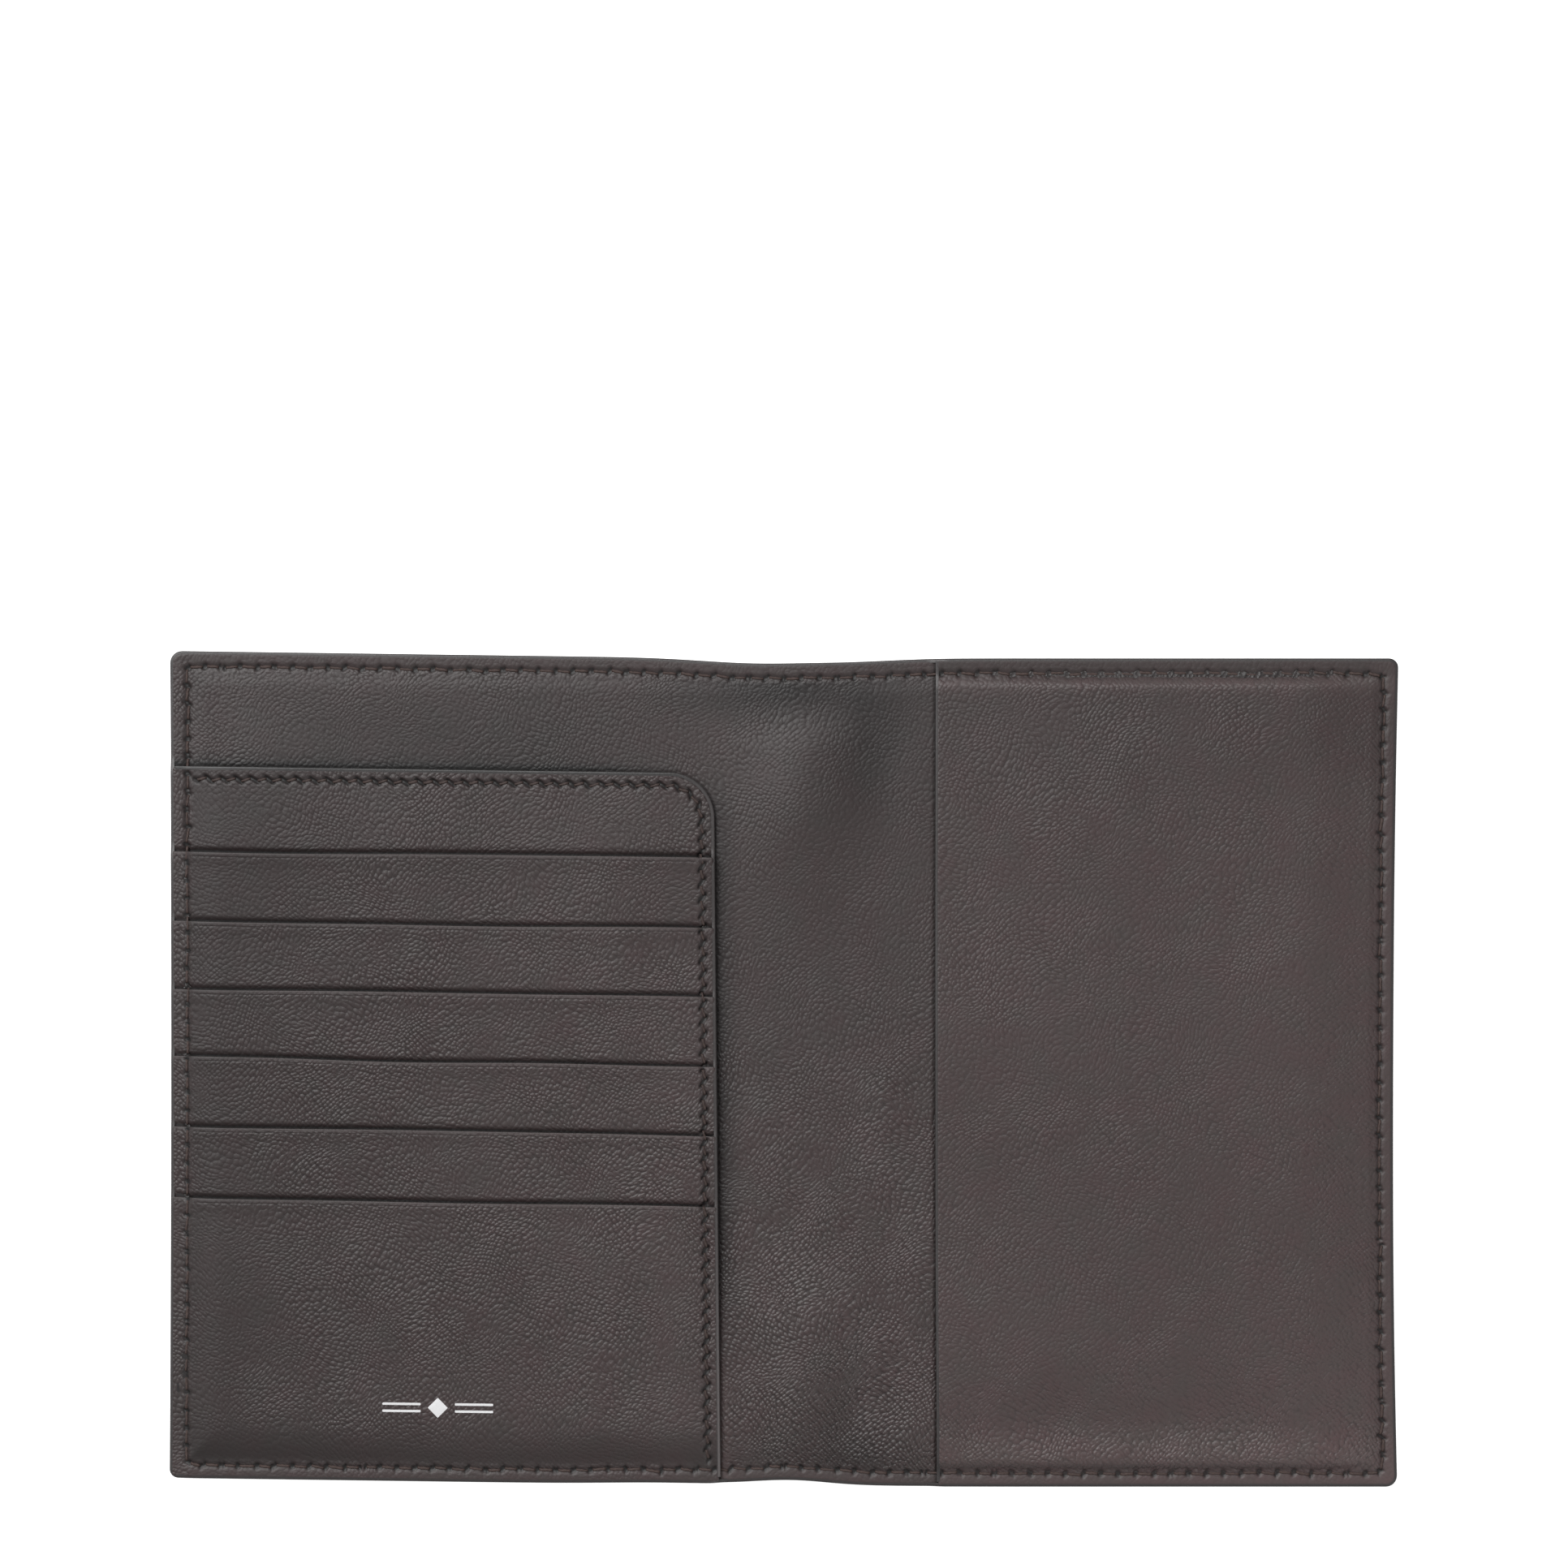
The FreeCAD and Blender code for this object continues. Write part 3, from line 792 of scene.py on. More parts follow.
def lining_painted_light_and_grain(x, y):
    """Painted light and shade on the lining: darker towards the top, with patches painted lighter
    or darker; its grain is smoother towards the top.
    """
    shade = 1 - 0.22 * smooth(30, 56, y) - 0.08 * smooth(-20, 20, y)
    shade = spots(PAINTED_LIGHT_AND_SHADE_PATCHES, x, y, shade)
    grain = 0.62 + 0.75 * smooth(40, -45, y)
    return within_seam(x, y, -0.5, shade, grain)


def sleeve_painted_light_and_grain(x, y):
    # Painted light and shade on the sleeve: darker towards the top, painted highlights in bands
    # near the bottom and top seams, lighter to the right and low down; its grain is stronger in a
    # band near the bottom.
    shade = 1 - 0.1 * smooth(20, 62, y) + 0.16 * hump(y, BOTTOM + 5.8, 3.4)
    shade = shade - 0.13 * smooth(44, 57, y) + 0.3 * hump(y, TOP - 4.4, 1.5)
    shade = shade * (1 + 0.14 * smooth(45, 100, x)) * (1 + 0.17 * smooth(-28, -58, y))
    return np.zeros_like(x), shade, 0.9 + 0.6 * hump(y, BOTTOM + 7, 4.0)


def panel_painted_light_and_grain(x, y):
    """The panel's colour gets painted light and shade: darker towards its sewn left and bottom,
    its top and the rim of its free side, and lighter in a band inside the free side's seam and in
    one low down. Its grain is smoother towards the left, the bottom and the top.
    """
    across = np.clip((x - LEFT - 3) / 70, 0, 1) ** 0.7
    up = smooth(BOTTOM + 2.0, BOTTOM + 13.0, y)
    high = smooth(0, 45, y)
    shade = (0.58 + 0.42 * across) * (0.7 + 0.3 * up) * (1 - 0.12 * high)
    shade = shade * (1 + 0.09 * hump(x, PANEL_RIGHT - 7.5, 4.0) * smooth(20, -10, y))
    shade = shade * (1 + 0.1 * hump(y, BOTTOM + 15.0, 5.0))
    shade = shade * (1 - 0.2 * smooth(PANEL_RIGHT - 2.4, PANEL_RIGHT - 1.6, x) * smooth(5, 35, y))
    grain = (0.5 + 0.5 * smooth(LEFT + 2, LEFT + 26, x)) * (0.25 + 0.75 * up) * (1.0 - 0.3 * high)
    return within_seam(x, y, 0.0, shade, grain)


def beside_sleeve(x, y):
    """The sleeve's mouth throws a thin shadow on the lining."""
    outside = SLEEVE_LEFT - SLEEVE_LEAN * y - 0.1 - x
    near = smooth(0.55, -0.1, outside)
    return -0.05 * near, 1 - 0.7 * near, 1 - 0.5 * near


# --- Threads ---
def tube_faces(rings, sides, base=0):
    """Quads between rings of points from number base on, and a cap at either end."""
    side = np.arange(sides)
    ring = base + sides * np.arange(rings - 1)[:, None]
    low, beside = ring + side, ring + (side + 1) % sides
    quads = np.stack([low, low + sides, beside + sides, beside], -1).reshape(-1, 4).tolist()
    return quads + [low[0].tolist(), (low[-1] + sides)[::-1].tolist()]


TWIST_PITCH = 1.1
THREAD_RINGS = 15
THREAD_SIDES = 10


def threads_shape(rows, surface, facing=1, sink=0.12, bury=0.5):
    """Two-ply threads that rise out of one needle hole and dive into the next."""
    points, faces = [], []
    around = np.linspace(0, math.tau, THREAD_SIDES, endpoint=False)
    plump = np.random.default_rng(len(rows)).uniform(0.78, 1.12, len(rows))
    for number, (ax, ay, bx, by) in enumerate(rows):
        length = math.hypot(bx - ax, by - ay)
        share = np.linspace(-0.02, 1.02, THREAD_RINGS)
        x, y = ax + (bx - ax) * share, ay + (by - ay) * share
        bend = np.clip(np.abs(2 * share - 1), 0, 1.1)
        level = surface(x, y).mean() * 0.5 + surface(x, y) * 0.5
        z = level - facing * (sink + bury * bend**7)
        ply = 1 + 0.14 * np.cos(2 * around - math.tau * share[:, None] * length / TWIST_PITCH)
        taper = plump[number] * np.sqrt(np.clip(1.25 - bend**6 * 0.9, 0.1, 1))[:, None]
        wide = THREAD_WIDTH / 2 * ply * taper * np.cos(around)
        high = THREAD_HEIGHT / 2 * ply * taper * np.sin(around)
        side_x, side_y = -(by - ay) / length, (bx - ax) / length
        ring_x, ring_y = x[:, None] + side_x * wide, y[:, None] + side_y * wide
        points.append(np.stack([ring_x, ring_y, z[:, None] + high], -1).reshape(-1, 3))
        faces += tube_faces(THREAD_RINGS, THREAD_SIDES, number * THREAD_RINGS * THREAD_SIDES)
    return Shape(np.concatenate(points), faces)


# --- Painted edges ---
BEAD_SIDES = 9


def bead(points, normals, low, high, width, lap=0.3, crest_light=1.0, side_light=1.0):
    """A rounded band of edge paint along a path, from low to high, lapping the top.

    The last two arguments are painted highlight and shade: how much lighter or darker
    the paint is painted along its top corner and on its side, each one number or a
    column with one for every point.
    """
    angle = np.linspace(-math.pi / 2, math.pi / 2, BEAD_SIDES)
    out = width * np.abs(np.cos(angle)) ** 0.35
    up = 0.5 + 0.5 * np.sign(np.sin(angle)) * np.abs(np.sin(angle)) ** 0.8
    out = np.concatenate([out, [-lap, -0.02, -0.02]])
    up = np.concatenate([up, [1.0, 0.8, 0.2]])
    height = (high - low)[:, None]
    ring_x = points[:, 0:1] + normals[:, 0:1] * out
    ring_y = points[:, 1:2] + normals[:, 1:2] * out
    ring_z = low[:, None] + height * up
    count, sides = ring_x.shape
    shade = np.ones((count, sides))
    shade[:, : BEAD_SIDES - 4] = side_light
    shade[:, BEAD_SIDES - 4 : BEAD_SIDES] = crest_light
    points = np.stack([ring_x, ring_y, ring_z], -1).reshape(-1, 3)
    return Shape(points, tube_faces(count, sides), shade.ravel())


def even_out(values, reach=3):
    """A running mean, so that paint flows over the steps between layers."""
    padded = np.pad(values, reach, mode="edge")
    weights = np.hanning(2 * reach + 3)[1:-1]
    return np.convolve(padded, weights / weights.sum(), "valid")


# --- Materials ---
MATERIALS = {}  # by slot


class Recipe:
    """A material's nodes, written one after another."""

    def __init__(self, name):
        self.material = MATERIALS[name] = bpy.data.materials.new(name)
        self.material.use_nodes = True
        self.tree = self.material.node_tree
        self.shader = self.tree.nodes["Principled BSDF"]

    def add(self, kind, settings=None, feeds=None):
        node = self.tree.nodes.new("ShaderNode" + kind)
        for key, value in (settings or {}).items():
            setattr(node, key, value)
        for key, value in (feeds or {}).items():
            self.feed(node.inputs[key], value)
        return node

    def feed(self, socket, value):
        if isinstance(value, bpy.types.NodeSocket):
            self.tree.links.new(value, socket)
        else:
            socket.default_value = value

    def warped(self, vector, place, scale, amount):
        """Moves a vector about by noise."""
        sway = self.noise(place, scale, 1.0, "Color")
        sway = self.vector("SUBTRACT", sway, (0.5, 0.5, 0.5))
        return self.vector("ADD", vector, self.vector("SCALE", sway, amount))

    def math(self, operation, first, second=0.0, clamp=False):
        settings = {"operation": operation, "use_clamp": clamp}
        return self.add("Math", settings, {0: first, 1: second}).outputs[0]

    def times(self, first, second):
        return self.math("MULTIPLY", first, second)

    def scaled(self, value, low, high):
        """Takes a value from 0..1 to low..high."""
        return self.add("MapRange", None, {0: value, 3: low, 4: high}).outputs[0]

    def stretched(self, value, low, high):
        """Takes a value from low..high to 0..1."""
        return self.add("MapRange", None, {0: value, 1: low, 2: high}).outputs[0]

    def attribute(self, name, outlet):
        return self.add("Attribute", {"attribute_name": name}).outputs[outlet]

    def noise(self, vector, scale, detail=2.0, outlet="Fac"):
        feeds = {"Vector": vector, "Scale": scale, "Detail": detail}
        return self.add("TexNoise", None, feeds).outputs[outlet]

    def vector(self, operation, first, second):
        feeds = {0: first, "Scale" if operation == "SCALE" else 1: second}
        return self.add("VectorMath", {"operation": operation}, feeds).outputs["Vector"]

    def tint(self, factor, first, second, blend="MIX"):
        settings = {"data_type": "RGBA", "blend_type": blend}
        return self.add("Mix", settings, {0: factor, 6: first, 7: second}).outputs[2]

    def blend(self, factor, first, second):
        return self.add("Mix", {"data_type": "FLOAT"}, {0: factor, 2: first, 3: second}).outputs[0]

    def toned(self, colour, level):
        """The shader's colour: one colour, made darker or lighter by a level."""
        grey = self.add("CombineColor", None, {0: level, 1: level, 2: level}).outputs[0]
        self.feed(self.shader.inputs["Base Color"], self.tint(1.0, colour, grey, "MULTIPLY"))

    def rough(self, value):
        self.feed(self.shader.inputs["Roughness"], value)

    def bump(self, height, strength, distance):
        feeds = {"Strength": strength, "Distance": distance * MM, "Height": height}
        self.feed(self.shader.inputs["Normal"], self.add("Bump", None, feeds).outputs[0])

    def finish(self, **constants):
        for key, value in constants.items():
            self.shader.inputs[key.replace("_", " ")].default_value = value


def rgb(red, green, blue):
    return (red, green, blue, 1.0)


WARM, COOL = (1.05, 0.96, 0.98), (0.95, 1.03, 1.0)


PEBBLE = 0.68
# How much lighter the pebble tops are painted than the hollows: painted highlight and shade.
PEBBLE_LIGHT_AND_SHADE = 0.38
LEATHER_ROUGHNESS = (0.55, 0.40)  # between the pebbles and on top of them


def leather(name, tone, relief=0.10):
    """Fine pebbled grain that runs one way here and another way there, mottled, with the pebble
    tops painted lighter as highlights and the hollows darker as shade.
    """
    recipe = Recipe(name)
    place = recipe.attribute("place", "Vector")
    shade = recipe.attribute("shade", "Fac")
    grain = recipe.attribute("grain", "Fac")

    bent = recipe.warped(place, place, 0.09, 5.0)
    bent = recipe.warped(bent, place, 0.9, 0.25)

    lays = []
    for turn, stretch in ((0.45, 0.88), (-0.75, 0.94)):
        scale = (stretch / PEBBLE, 1 / PEBBLE, 1)
        feeds = {"Vector": bent, "Rotation": (0, 0, turn), "Scale": scale}
        turned = recipe.add("Mapping", {"vector_type": "POINT"}, feeds).outputs[0]
        settings = {"voronoi_dimensions": "2D", "feature": "F1"}
        feeds = {"Vector": turned, "Scale": 1.0, "Randomness": 0.62}
        lays.append(recipe.add("TexVoronoi", settings, feeds).outputs["Distance"])
    zone = recipe.stretched(recipe.noise(place, 0.045, 1.0), 0.42, 0.58)
    distance = recipe.times(recipe.blend(zone, lays[0], lays[1]), 1.45)
    dome = recipe.math("SUBTRACT", 1.0, recipe.times(distance, distance), True)
    pores = recipe.noise(bent, 3.4, 2.0)
    strength = recipe.scaled(recipe.noise(place, 0.07, 2.0), 0.35, 1.45)
    strength = recipe.times(strength, grain)
    pebbles = recipe.math("ADD", dome, recipe.times(pores, 0.3))
    recipe.bump(recipe.times(pebbles, strength), 1.0, relief)

    cloud = recipe.stretched(recipe.noise(place, 0.22, 3.0), 0.3, 0.7)
    warm, cool = (rgb(*np.multiply(tone, change).tolist()) for change in (WARM, COOL))
    colour = recipe.tint(cloud, warm, cool)
    wide = recipe.scaled(recipe.noise(place, 0.03, 1.0), 0.95, 1.05)
    # Painted highlight on the pebble tops and painted shade in the hollows, as strong as the
    # grain, on top of the random tone.
    lit = recipe.times(recipe.math("SUBTRACT", dome, 0.45), PEBBLE_LIGHT_AND_SHADE)
    lit = recipe.math("ADD", recipe.times(lit, strength), wide)
    # The shade attribute brings in the painted light and shade that each piece carries.
    recipe.toned(colour, recipe.times(lit, shade))
    recipe.rough(recipe.scaled(recipe.times(dome, strength), *LEATHER_ROUGHNESS))


def simple_material(name, tone, scale, spread, roughness, relief, **constants):
    """One substance with a fine unevenness of tone, gloss and surface."""
    recipe = Recipe(name)
    place = recipe.attribute("place", "Vector")
    shade = recipe.attribute("shade", "Fac")
    speck = recipe.noise(place, scale, 3.0)
    level = recipe.scaled(speck, 1 - spread, 1 + spread)
    # The shade attribute darkens or lightens the colour; on the edge paint it is painted highlight
    # and shade.
    recipe.toned(rgb(*tone), recipe.times(level, shade))
    recipe.rough(recipe.scaled(speck, roughness - 0.08, roughness + 0.08))
    recipe.bump(speck, 0.8, relief)
    recipe.finish(**constants)


def woven_material(name, tone, pitch):
    """Plain woven fabric."""
    recipe = Recipe(name)
    place = recipe.attribute("place", "Vector")
    bands = []
    for direction in ("X", "Y"):
        settings = {"bands_direction": direction}
        feeds = {"Vector": place, "Scale": 0.314 / pitch, "Distortion": 0.4}
        bands.append(recipe.add("TexWave", settings, feeds).outputs["Fac"])
    weave = recipe.math("MAXIMUM", bands[0], bands[1])
    recipe.toned(rgb(*tone), recipe.scaled(weave, 0.75, 1.1))
    recipe.bump(weave, 0.7, 0.04)
    recipe.finish(Roughness=0.9)


LEATHER_TONE = (0.0380, 0.0268, 0.0265)
leather("lining_leather", LEATHER_TONE)
leather("pocket_leather", LEATHER_TONE, relief=0.12)
leather("sleeve_leather", (0.0420, 0.0290, 0.0287), relief=0.08)
leather("shell_leather", LEATHER_TONE, relief=0.16)
simple_material("edge_paint", (0.034, 0.030, 0.030), 1.3, 0.12, 0.42, 0.03)
simple_material("thread", (0.047, 0.0285, 0.0245), 3.2, 0.5, 0.7, 0.05)
simple_material("stiffener", (0.30, 0.26, 0.21), 2.5, 0.10, 0.85, 0.05)
simple_material("foil", (0.90, 0.90, 0.91), 5.0, 0.05, 0.34, 0.01, Metallic=0.35)
woven_material("tail_fabric", (0.020, 0.018, 0.018), 0.3)


def follow_left(piece, *nodes):
    """The half that, on the wallet, bends at the card side's crease; here its CAD nodes are hidden
    and its placement is baked into its mesh.
    """
    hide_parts(*nodes)
    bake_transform(piece)


def follow_right(piece, *nodes):
    """The half that, on the wallet, bends at the passport side's crease; here its CAD nodes are
    hidden and its placement is baked into its mesh.
    """
    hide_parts(*nodes)
    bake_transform(piece)


def on_card_cover(piece, *nodes):
    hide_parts(*nodes)
    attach(piece, "card_cover")


def on_passport_cover(piece, *nodes):
    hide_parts(*nodes)
    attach(piece, "passport_cover")


# --- Cover ---
HALVES = (
    ("left", 1, follow_left, inner_left, outer_left),
    ("right", -1, follow_right, inner_right, outer_right),
)


def near_seam(x, y):
    """Close points near the inner seam, and fewer away from it."""
    return 0.25 + 0.45 * np.clip(np.abs(inner_seam_cut.depth(x, y)) - 0.9, 0, None)


def lining_seen(x, y):
    covered = panel_outside(x, y) < -1.0
    return ~(covered | (x > SLEEVE_LEFT + 1.0))


def lining_wanted(x, y):
    by_panel = np.clip(panel_outside(x, y) - 0.8, 0, None)
    by_sleeve = np.abs(x - SLEEVE_LEFT + 0.3)
    wanted = np.minimum(near_seam(x, y), 0.3 + 0.5 * by_panel)
    wanted = np.minimum(wanted, 0.3 + 0.6 * np.clip(by_sleeve - 0.5, 0, None))
    wanted = np.where(lining_seen(x, y), np.minimum(wanted, 1.0), 4.0)
    return np.minimum(wanted, at_bends(x, y))


def outer_seam_depth(x, y):
    return outline.depth(x, y) - OUTER_SEAM_INSET


def shell_skin(x, y):
    return np.zeros_like(x)


def shell_wanted(x, y):
    by_seam = 0.25 + 0.6 * np.clip(np.abs(outer_seam_depth(x, y)) - 0.8, 0, None)
    return np.minimum(by_seam, at_bends(x, y))


def groove_relief(x, y):
    """The sunk line that holds the outer thread, painted darker along it as shade."""
    line = hump(outer_seam_depth(x, y), 0, 0.45)
    return -0.26 * line, 1 - 0.3 * line, 1 - 0.6 * line


BOARD_INSET = 7.0
cover_radii = tuple(radius - PAINT for radius in CORNER_RADII)


def board_top(x, y):
    return np.full_like(x, SHELL + BOARD)


lining_reliefs = add_reliefs(
    margin_relief, lining_painted_light_and_grain, beside_panel, beside_sleeve,
    seam_relief(np.concatenate([inner_left, inner_right])),
)

for side, joined, follow, inner_rows, outer_rows in HALVES:
    cut = cover_cut(dict.fromkeys(SEAM_INSETS, PAINT), cover_radii, joined)
    shell = sheet(
        cut, shell_skin, SHELL, shell_wanted,
        add_reliefs(groove_relief, seam_relief(outer_rows, 0.08, 0.4)), facing=-1,
    )
    piece = build(f"shell_half_{side}", [shell], "shell_leather")
    follow(piece, f"outer_shell_{side}", "outer_shell_spine")

    lining = sheet(
        cut, lining_skin, LINING, lining_wanted, seen_only(lining_reliefs, lining_seen),
        coarsest=4.0,
    )
    piece = build(f"lining_half_{side}", [lining], "lining_leather", (3.0, 50.0, 0.0))
    follow(piece, f"lining_{side}", "lining_spine")

    path, normals = cut.walk(0.0, 0.5)
    sky = even_out(skyline(*(path - normals * 0.35).T)) - 0.02
    rim = bead(path, normals, np.zeros(len(path)), sky, PAINT)
    piece = build(f"edge_paint_half_{side}", [rim], "edge_paint")
    follow(piece, f"edge_paint_{side}", "edge_paint_spine")

    inner = threads_shape(inner_rows, skyline)
    piece = build(f"inner_seam_half_{side}", [inner], "thread")
    follow(piece, f"inner_stitches_{side}", "inner_stitches_spine")

    outer = threads_shape(outer_rows, shell_skin, facing=-1, sink=-0.06, bury=0.3)
    outer.points[:, 2] = np.clip(outer.points[:, 2] + 0.18, 0.03, None)
    piece = build(f"outer_seam_half_{side}", [outer], "thread")
    follow(piece, f"outer_stitches_{side}", "outer_stitches_spine")

    low, high = BOTTOM + BOARD_INSET, TOP - BOARD_INSET
    outer_x = LEFT + BOARD_INSET if joined > 0 else RIGHT - BOARD_INSET
    board_ends = sorted((outer_x, -joined * abs(BOARD_END)))
    board_cut = Cut(*board_ends, low, high, (2,) * 4)
    board = sheet(board_cut, board_top, BOARD - PLAY, coarsest=4.0, step=2.0)
    piece = build(f"board_{side}", [board], "stiffener")
    follow(piece, f"cover_board_{side}")
    spine_ends = sorted((0.0, -joined * SPINE_BOARD_END))
    spine_cut = Cut(*spine_ends, low, high, (0.5,) * 4, joined)
    spine_board = sheet(spine_cut, board_top, BOARD - PLAY, coarsest=1.0, step=1.0)
    piece = build(f"spine_board_half_{side}", [spine_board], "stiffener")
    follow(piece, "spine_reinforcement")


# --- Card panel ---
def panel_cut(y0, y1, rounded):
    radius = PANEL_RADIUS - PANEL_PAINT if rounded else 0.4
    return Cut(LEFT + PAINT, PANEL_RIGHT - PANEL_PAINT, y0, y1, (0.6, 0.4, radius, 0.4))


panel_reliefs = add_reliefs(
    margin_relief, panel_painted_light_and_grain, seam_relief(inner_left),
    seam_relief(panel_threads, 0.2, 0.34, -0.75, dark=0.1, hole_long=0.68),
)


def near_panel_seam(x, y):
    away = np.abs(panel_outside(x, y) + PANEL_SEAM_INSET)
    away = np.where((x - LEFT < 4.5) | (y - BOTTOM < 3.5), 9.0, away)
    return 0.25 + 0.45 * np.clip(away - 0.9, 0, None)


def panel_wanted(shown_from):
    def wanted(x, y):
        fine = np.minimum(np.minimum(near_seam(x, y), near_panel_seam(x, y)), 1.0)
        return np.where(y > shown_from(x) - 1.0, fine, 4.0)

    return wanted


def mouth_rows(index, above):
    """Rows of points along a mouth, close enough together for its lip and crease."""
    x = np.arange(LEFT + PAINT + 0.8, PANEL_RIGHT - PANEL_PAINT - 0.8, 0.5)
    if above:
        steps = (-0.5, -0.25, -0.1, 0.0, 0.1, 0.2, 0.32, 0.46, 0.62, 0.8, 1.0, 1.3)
    else:
        steps = (-1.1, -0.92, -0.84, -0.78, -0.72, -0.64, -0.5, -0.4)
    rows = [np.stack([x, np.full_like(x, MOUTHS[index] + step)], 1) for step in steps]
    return np.concatenate(rows)


def panel_sheet(y0, y1, skin, index, lay, rounded=False):
    """A strip (or the backing, index -1) with its own mouth and the next one's slot."""
    cut = panel_cut(y0, y1, rounded)
    reliefs, extra = [panel_reliefs], []

    def shown_from(x):
        return mouth_line(index + 1, x) if index < FRONT else np.full_like(x, y0)

    if index >= 0:
        reliefs.append(mouth_relief(index))
        extra.append(mouth_rows(index, False))
    if index < FRONT:
        reliefs.append(slot_relief(index + 1))
        extra.append(mouth_rows(index + 1, True))
    relief = seen_only(add_reliefs(*reliefs), lambda x, y: y > shown_from(x) - 0.9)
    shape = sheet(
        cut, skin, POCKET - PLAY, panel_wanted(shown_from), relief, lay,
        coarsest=4.0, wall_shade=0.22, extra=np.concatenate(extra),
    )
    return cut, shape


cut, shape = panel_sheet(
    BOTTOM + PAINT, PANEL_TOP - PANEL_PAINT, backing_skin, -1, panel_lay, rounded=True
)
piece = build("panel_backing", [shape], "pocket_leather")
on_card_cover(piece, "card_panel_backing")

for index, node in enumerate(STRIPS):
    low = BOTTOM + PAINT if index == FRONT else corner(node, 0).y
    cut, shape = panel_sheet(low, MOUTHS[index], strip_skin(index), index, strip_lay(index))
    offset = (37.0 * index + 11.0, 23.0 * index, 0.0)
    name = "front_pocket" if index == FRONT else f"card_strip_{index + 1}"
    piece = build(name, [shape], "pocket_leather", offset)
    on_card_cover(piece, node)

for index, node in enumerate(TAILS):
    low, high = corner(node, 0), corner(node, 1)
    cut = Cut(LEFT + 1.0, PANEL_RIGHT - 1.0, max(low.y, BOTTOM + 1.0), high.y)
    tail_z = low.z - BACKING_TOP + TAIL
    skin = lambda x, y, tail_z=tail_z: backing_skin(x, y) + tail_z
    shape = sheet(cut, skin, TAIL, coarsest=4.0, step=1.0)
    piece = build(f"slot_tail_{index + 1}", [shape], "tail_fabric")
    on_card_cover(piece, node)


def panel_bead():
    """The card panel's painted free edge: along its top, round and down its side."""
    radius = PANEL_RADIUS - PANEL_PAINT
    x1, y1 = PANEL_RIGHT - PANEL_PAINT, PANEL_TOP - PANEL_PAINT
    arc, arc_normals = panel_corner(PANEL_PAINT, np.linspace(0, math.pi / 2, 18))
    up = np.arange(BOTTOM + 1.2, y1 - radius, 0.4)
    side = np.stack([np.full(len(up), x1), up], 1)
    back = np.arange(x1 - radius, LEFT + 0.8, -0.6)[1:]
    ledge = np.stack([back, np.full(len(back), y1)], 1)
    points = np.concatenate([side, arc, ledge])
    outward = [[1.0, 0.0]] * len(side), arc_normals, [[0.0, 1.0]] * len(ledge)
    normals = np.concatenate(outward)
    inner = points - normals * 0.3
    low = backing_skin(*inner.T) - BACKING
    high = even_out(panel_top(*inner.T), 4) + 0.03
    moved = np.stack(panel_lay(points[:, 0], points[:, 1]), 1)
    # Painted highlight and shade on the panel's edge paint: its top corner painted dark along the
    # panel's top and lighter down its side, most low down, and the side itself painted lighter
    # where it faces right.
    facing_right = normals[:, 0:1]
    crest_light = 0.3 + facing_right * (1.2 + 1.5 * smooth(-10, -60, points[:, 1:2]))
    return bead(moved, normals, low, high, PANEL_PAINT, 0.28, crest_light, 1 + 2 * facing_right)


piece = build("panel_edge", [panel_bead()], "edge_paint")
on_card_cover(piece, "card_panel_edge_paint")
panel_thread = threads_shape(panel_threads, skyline, sink=0.1)
panel_thread.shade = 0.8 * panel_thread.shade
piece = build("panel_seam", [panel_thread], "thread")
on_card_cover(piece, "card_panel_stitches")


# --- Foil ornament: a lozenge between double rules ---
FOIL_LOW, FOIL_HIGH = corner("foil_ornament", 0), corner("foil_ornament", 1)
FOIL_MIDDLE = (FOIL_LOW + FOIL_HIGH) / 2
FOIL_THICKNESS = 0.05
LOZENGE = FOIL_HIGH.y - FOIL_LOW.y
RULE_WIDTH = 0.4
RULE_SPACING = 1.2
RULE_START = 2.9


def foil_skin(x, y):
    return strip_skin(FRONT)(x, y) + 0.5 * FOIL_THICKNESS


def foil_shapes():
    shapes = []
    middle_x, middle_y = FOIL_MIDDLE.x, FOIL_MIDDLE.y
    reach = (FOIL_HIGH.x - FOIL_LOW.x) / 2
    for side, row in ((-1, -1), (-1, 1), (1, -1), (1, 1)):
        ends = sorted((middle_x + side * RULE_START, middle_x + side * reach))
        y = middle_y + row * RULE_SPACING / 2
        cut = Cut(*ends, y - RULE_WIDTH / 2, y + RULE_WIDTH / 2, (0.15,) * 4)
        shapes.append(sheet(cut, foil_skin, FOIL_THICKNESS, coarsest=0.5, step=0.25))
    slant = math.sqrt(0.5)
    half = LOZENGE / 2 * slant

    def turn(u, v):
        return middle_x + (u - v) * slant, middle_y + (u + v) * slant

    cut = Cut(-half, half, -half, half, (0.1,) * 4)
    shapes.append(sheet(cut, foil_skin, FOIL_THICKNESS, lay=turn, coarsest=0.5, step=0.25))
    return shapes


piece = build("foil_mark", foil_shapes(), "foil")
on_card_cover(piece, "foil_ornament")

# --- Passport sleeve ---
sleeve_cut = Cut(
    SLEEVE_LEFT + SLEEVE_PAINT, RIGHT - PAINT, BOTTOM + PAINT, TOP - PAINT,
    (0.4, CORNER_RADII[1] - PAINT, CORNER_RADII[2] - PAINT, 0.4),
)


def sleeve_wanted(x, y):
    return np.minimum(near_seam(x, y), 0.4 + 0.4 * np.abs(x - SLEEVE_LEFT))


sleeve_shape = sheet(
    sleeve_cut, sleeve_skin, SLEEVE - PLAY, sleeve_wanted,
    add_reliefs(margin_relief, sleeve_painted_light_and_grain, seam_relief(inner_right)), sleeve_lay, wall_shade=0.3,
)
piece = build("sleeve", [sleeve_shape], "sleeve_leather", (90.0, 31.0, 0.0))
on_passport_cover(piece, "passport_sleeve")

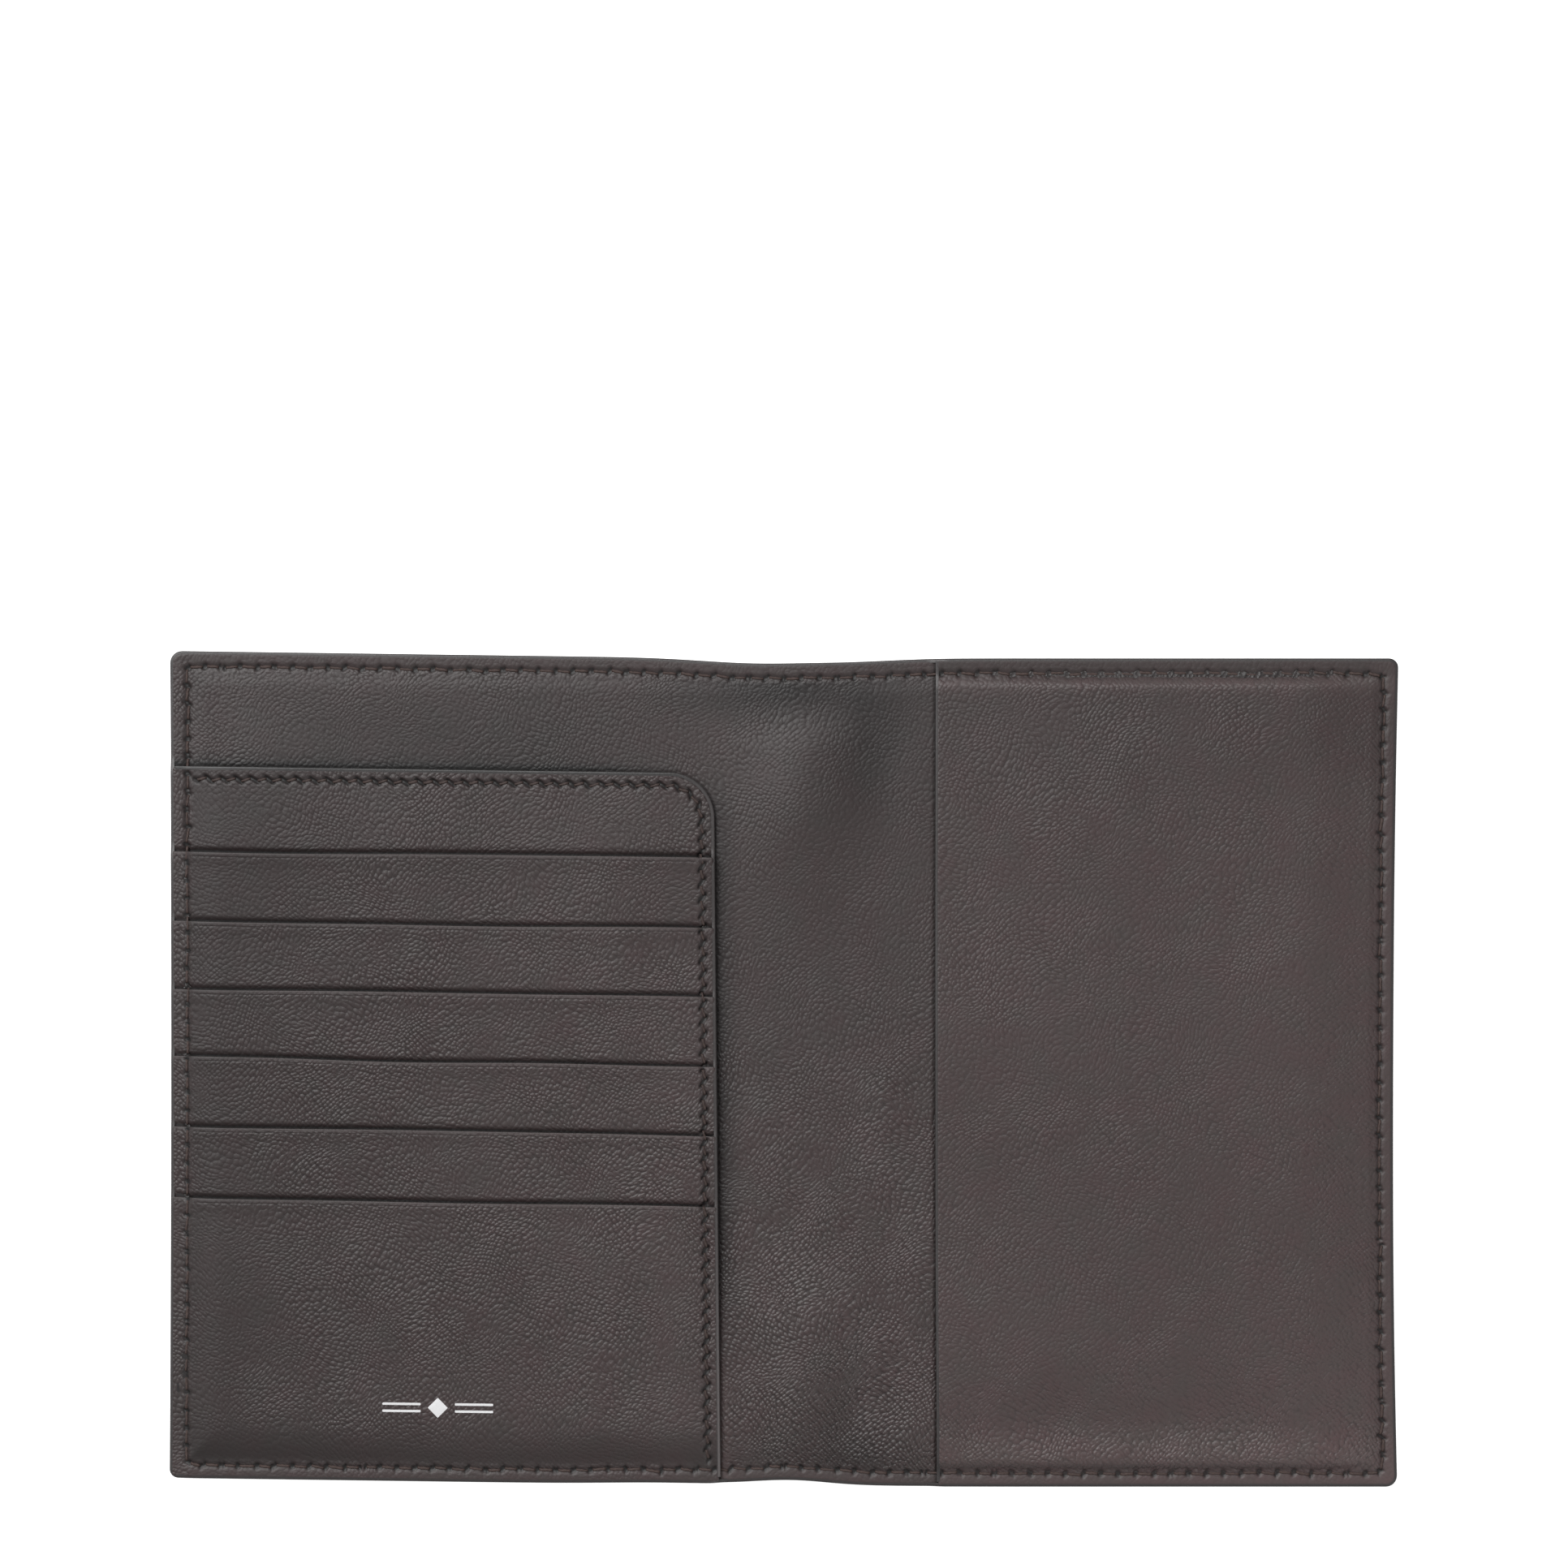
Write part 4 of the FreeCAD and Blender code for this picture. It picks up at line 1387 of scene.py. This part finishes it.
mouth_y = np.arange(TOP - PAINT - 0.1, BOTTOM + PAINT, -0.6)
mouth_path = np.stack([np.full(len(mouth_y), SLEEVE_LEFT + SLEEVE_PAINT), mouth_y], 1)
mouth_path = np.stack(sleeve_lay(mouth_path[:, 0], mouth_path[:, 1]), 1)
mouth_normals = np.tile([-1.0, 0.0], (len(mouth_y), 1))
mouth_top = sleeve_skin(*mouth_path.T)
mouth_low, mouth_high = mouth_top - SLEEVE + 0.05, mouth_top - 0.02
mouth_bead = bead(mouth_path, mouth_normals, mouth_low, mouth_high, SLEEVE_PAINT, 0.25)
piece = build("sleeve_edge", [mouth_bead], "edge_paint")
on_passport_cover(piece, "sleeve_edge_paint")


# --- Floor, lights and camera ---
def floor():
    size = 4.0
    mesh = bpy.data.meshes.new("floor")
    corners = [(-size, -size, 0), (size, -size, 0), (size, size, 0), (-size, size, 0)]
    mesh.from_pydata(corners, [], [(0, 1, 2, 3)])
    piece = add_object("floor", mesh, (0, 0, -0.05 * MM))
    glow = {"Emission_Color": rgb(1, 1, 1), "Emission_Strength": 0.8}
    Recipe("floor").finish(Base_Color=rgb(0.93, 0.93, 0.93), Roughness=0.9, **glow)
    mesh.materials.append(MATERIALS["floor"])


def area_light(name, place, size, power):
    """A soft light that points at the wallet."""
    data = bpy.data.lights.new(name, "AREA")
    data.shape = "RECTANGLE"
    data.size, data.size_y = size
    data.energy = power
    light = add_object(name, data, place)
    light.rotation_euler = (-Vector(place)).to_track_quat("-Z", "Y").to_euler()


CAMERA_Y = 0.0485
CAMERA_HEIGHT = 0.7425
LENS = 100.0

floor()
area_light("key", (-0.85, 1.15, 1.75), (1.8, 1.6), 62.0)
area_light("fill", (1.1, -1.2, 1.6), (1.2, 1.2), 8.0)

world = bpy.data.worlds.new("studio")
world.use_nodes = True
background = world.node_tree.nodes["Background"]
background.inputs["Color"].default_value = rgb(1, 1, 1)
background.inputs["Strength"].default_value = 0.25
bpy.context.scene.world = world
bpy.context.scene.view_settings.view_transform = "Standard"

camera_data = bpy.data.cameras.new("camera")
camera_data.lens = LENS
camera_data.clip_start = 0.01
bpy.context.scene.camera = add_object("camera", camera_data, (0.0, CAMERA_Y, CAMERA_HEIGHT))
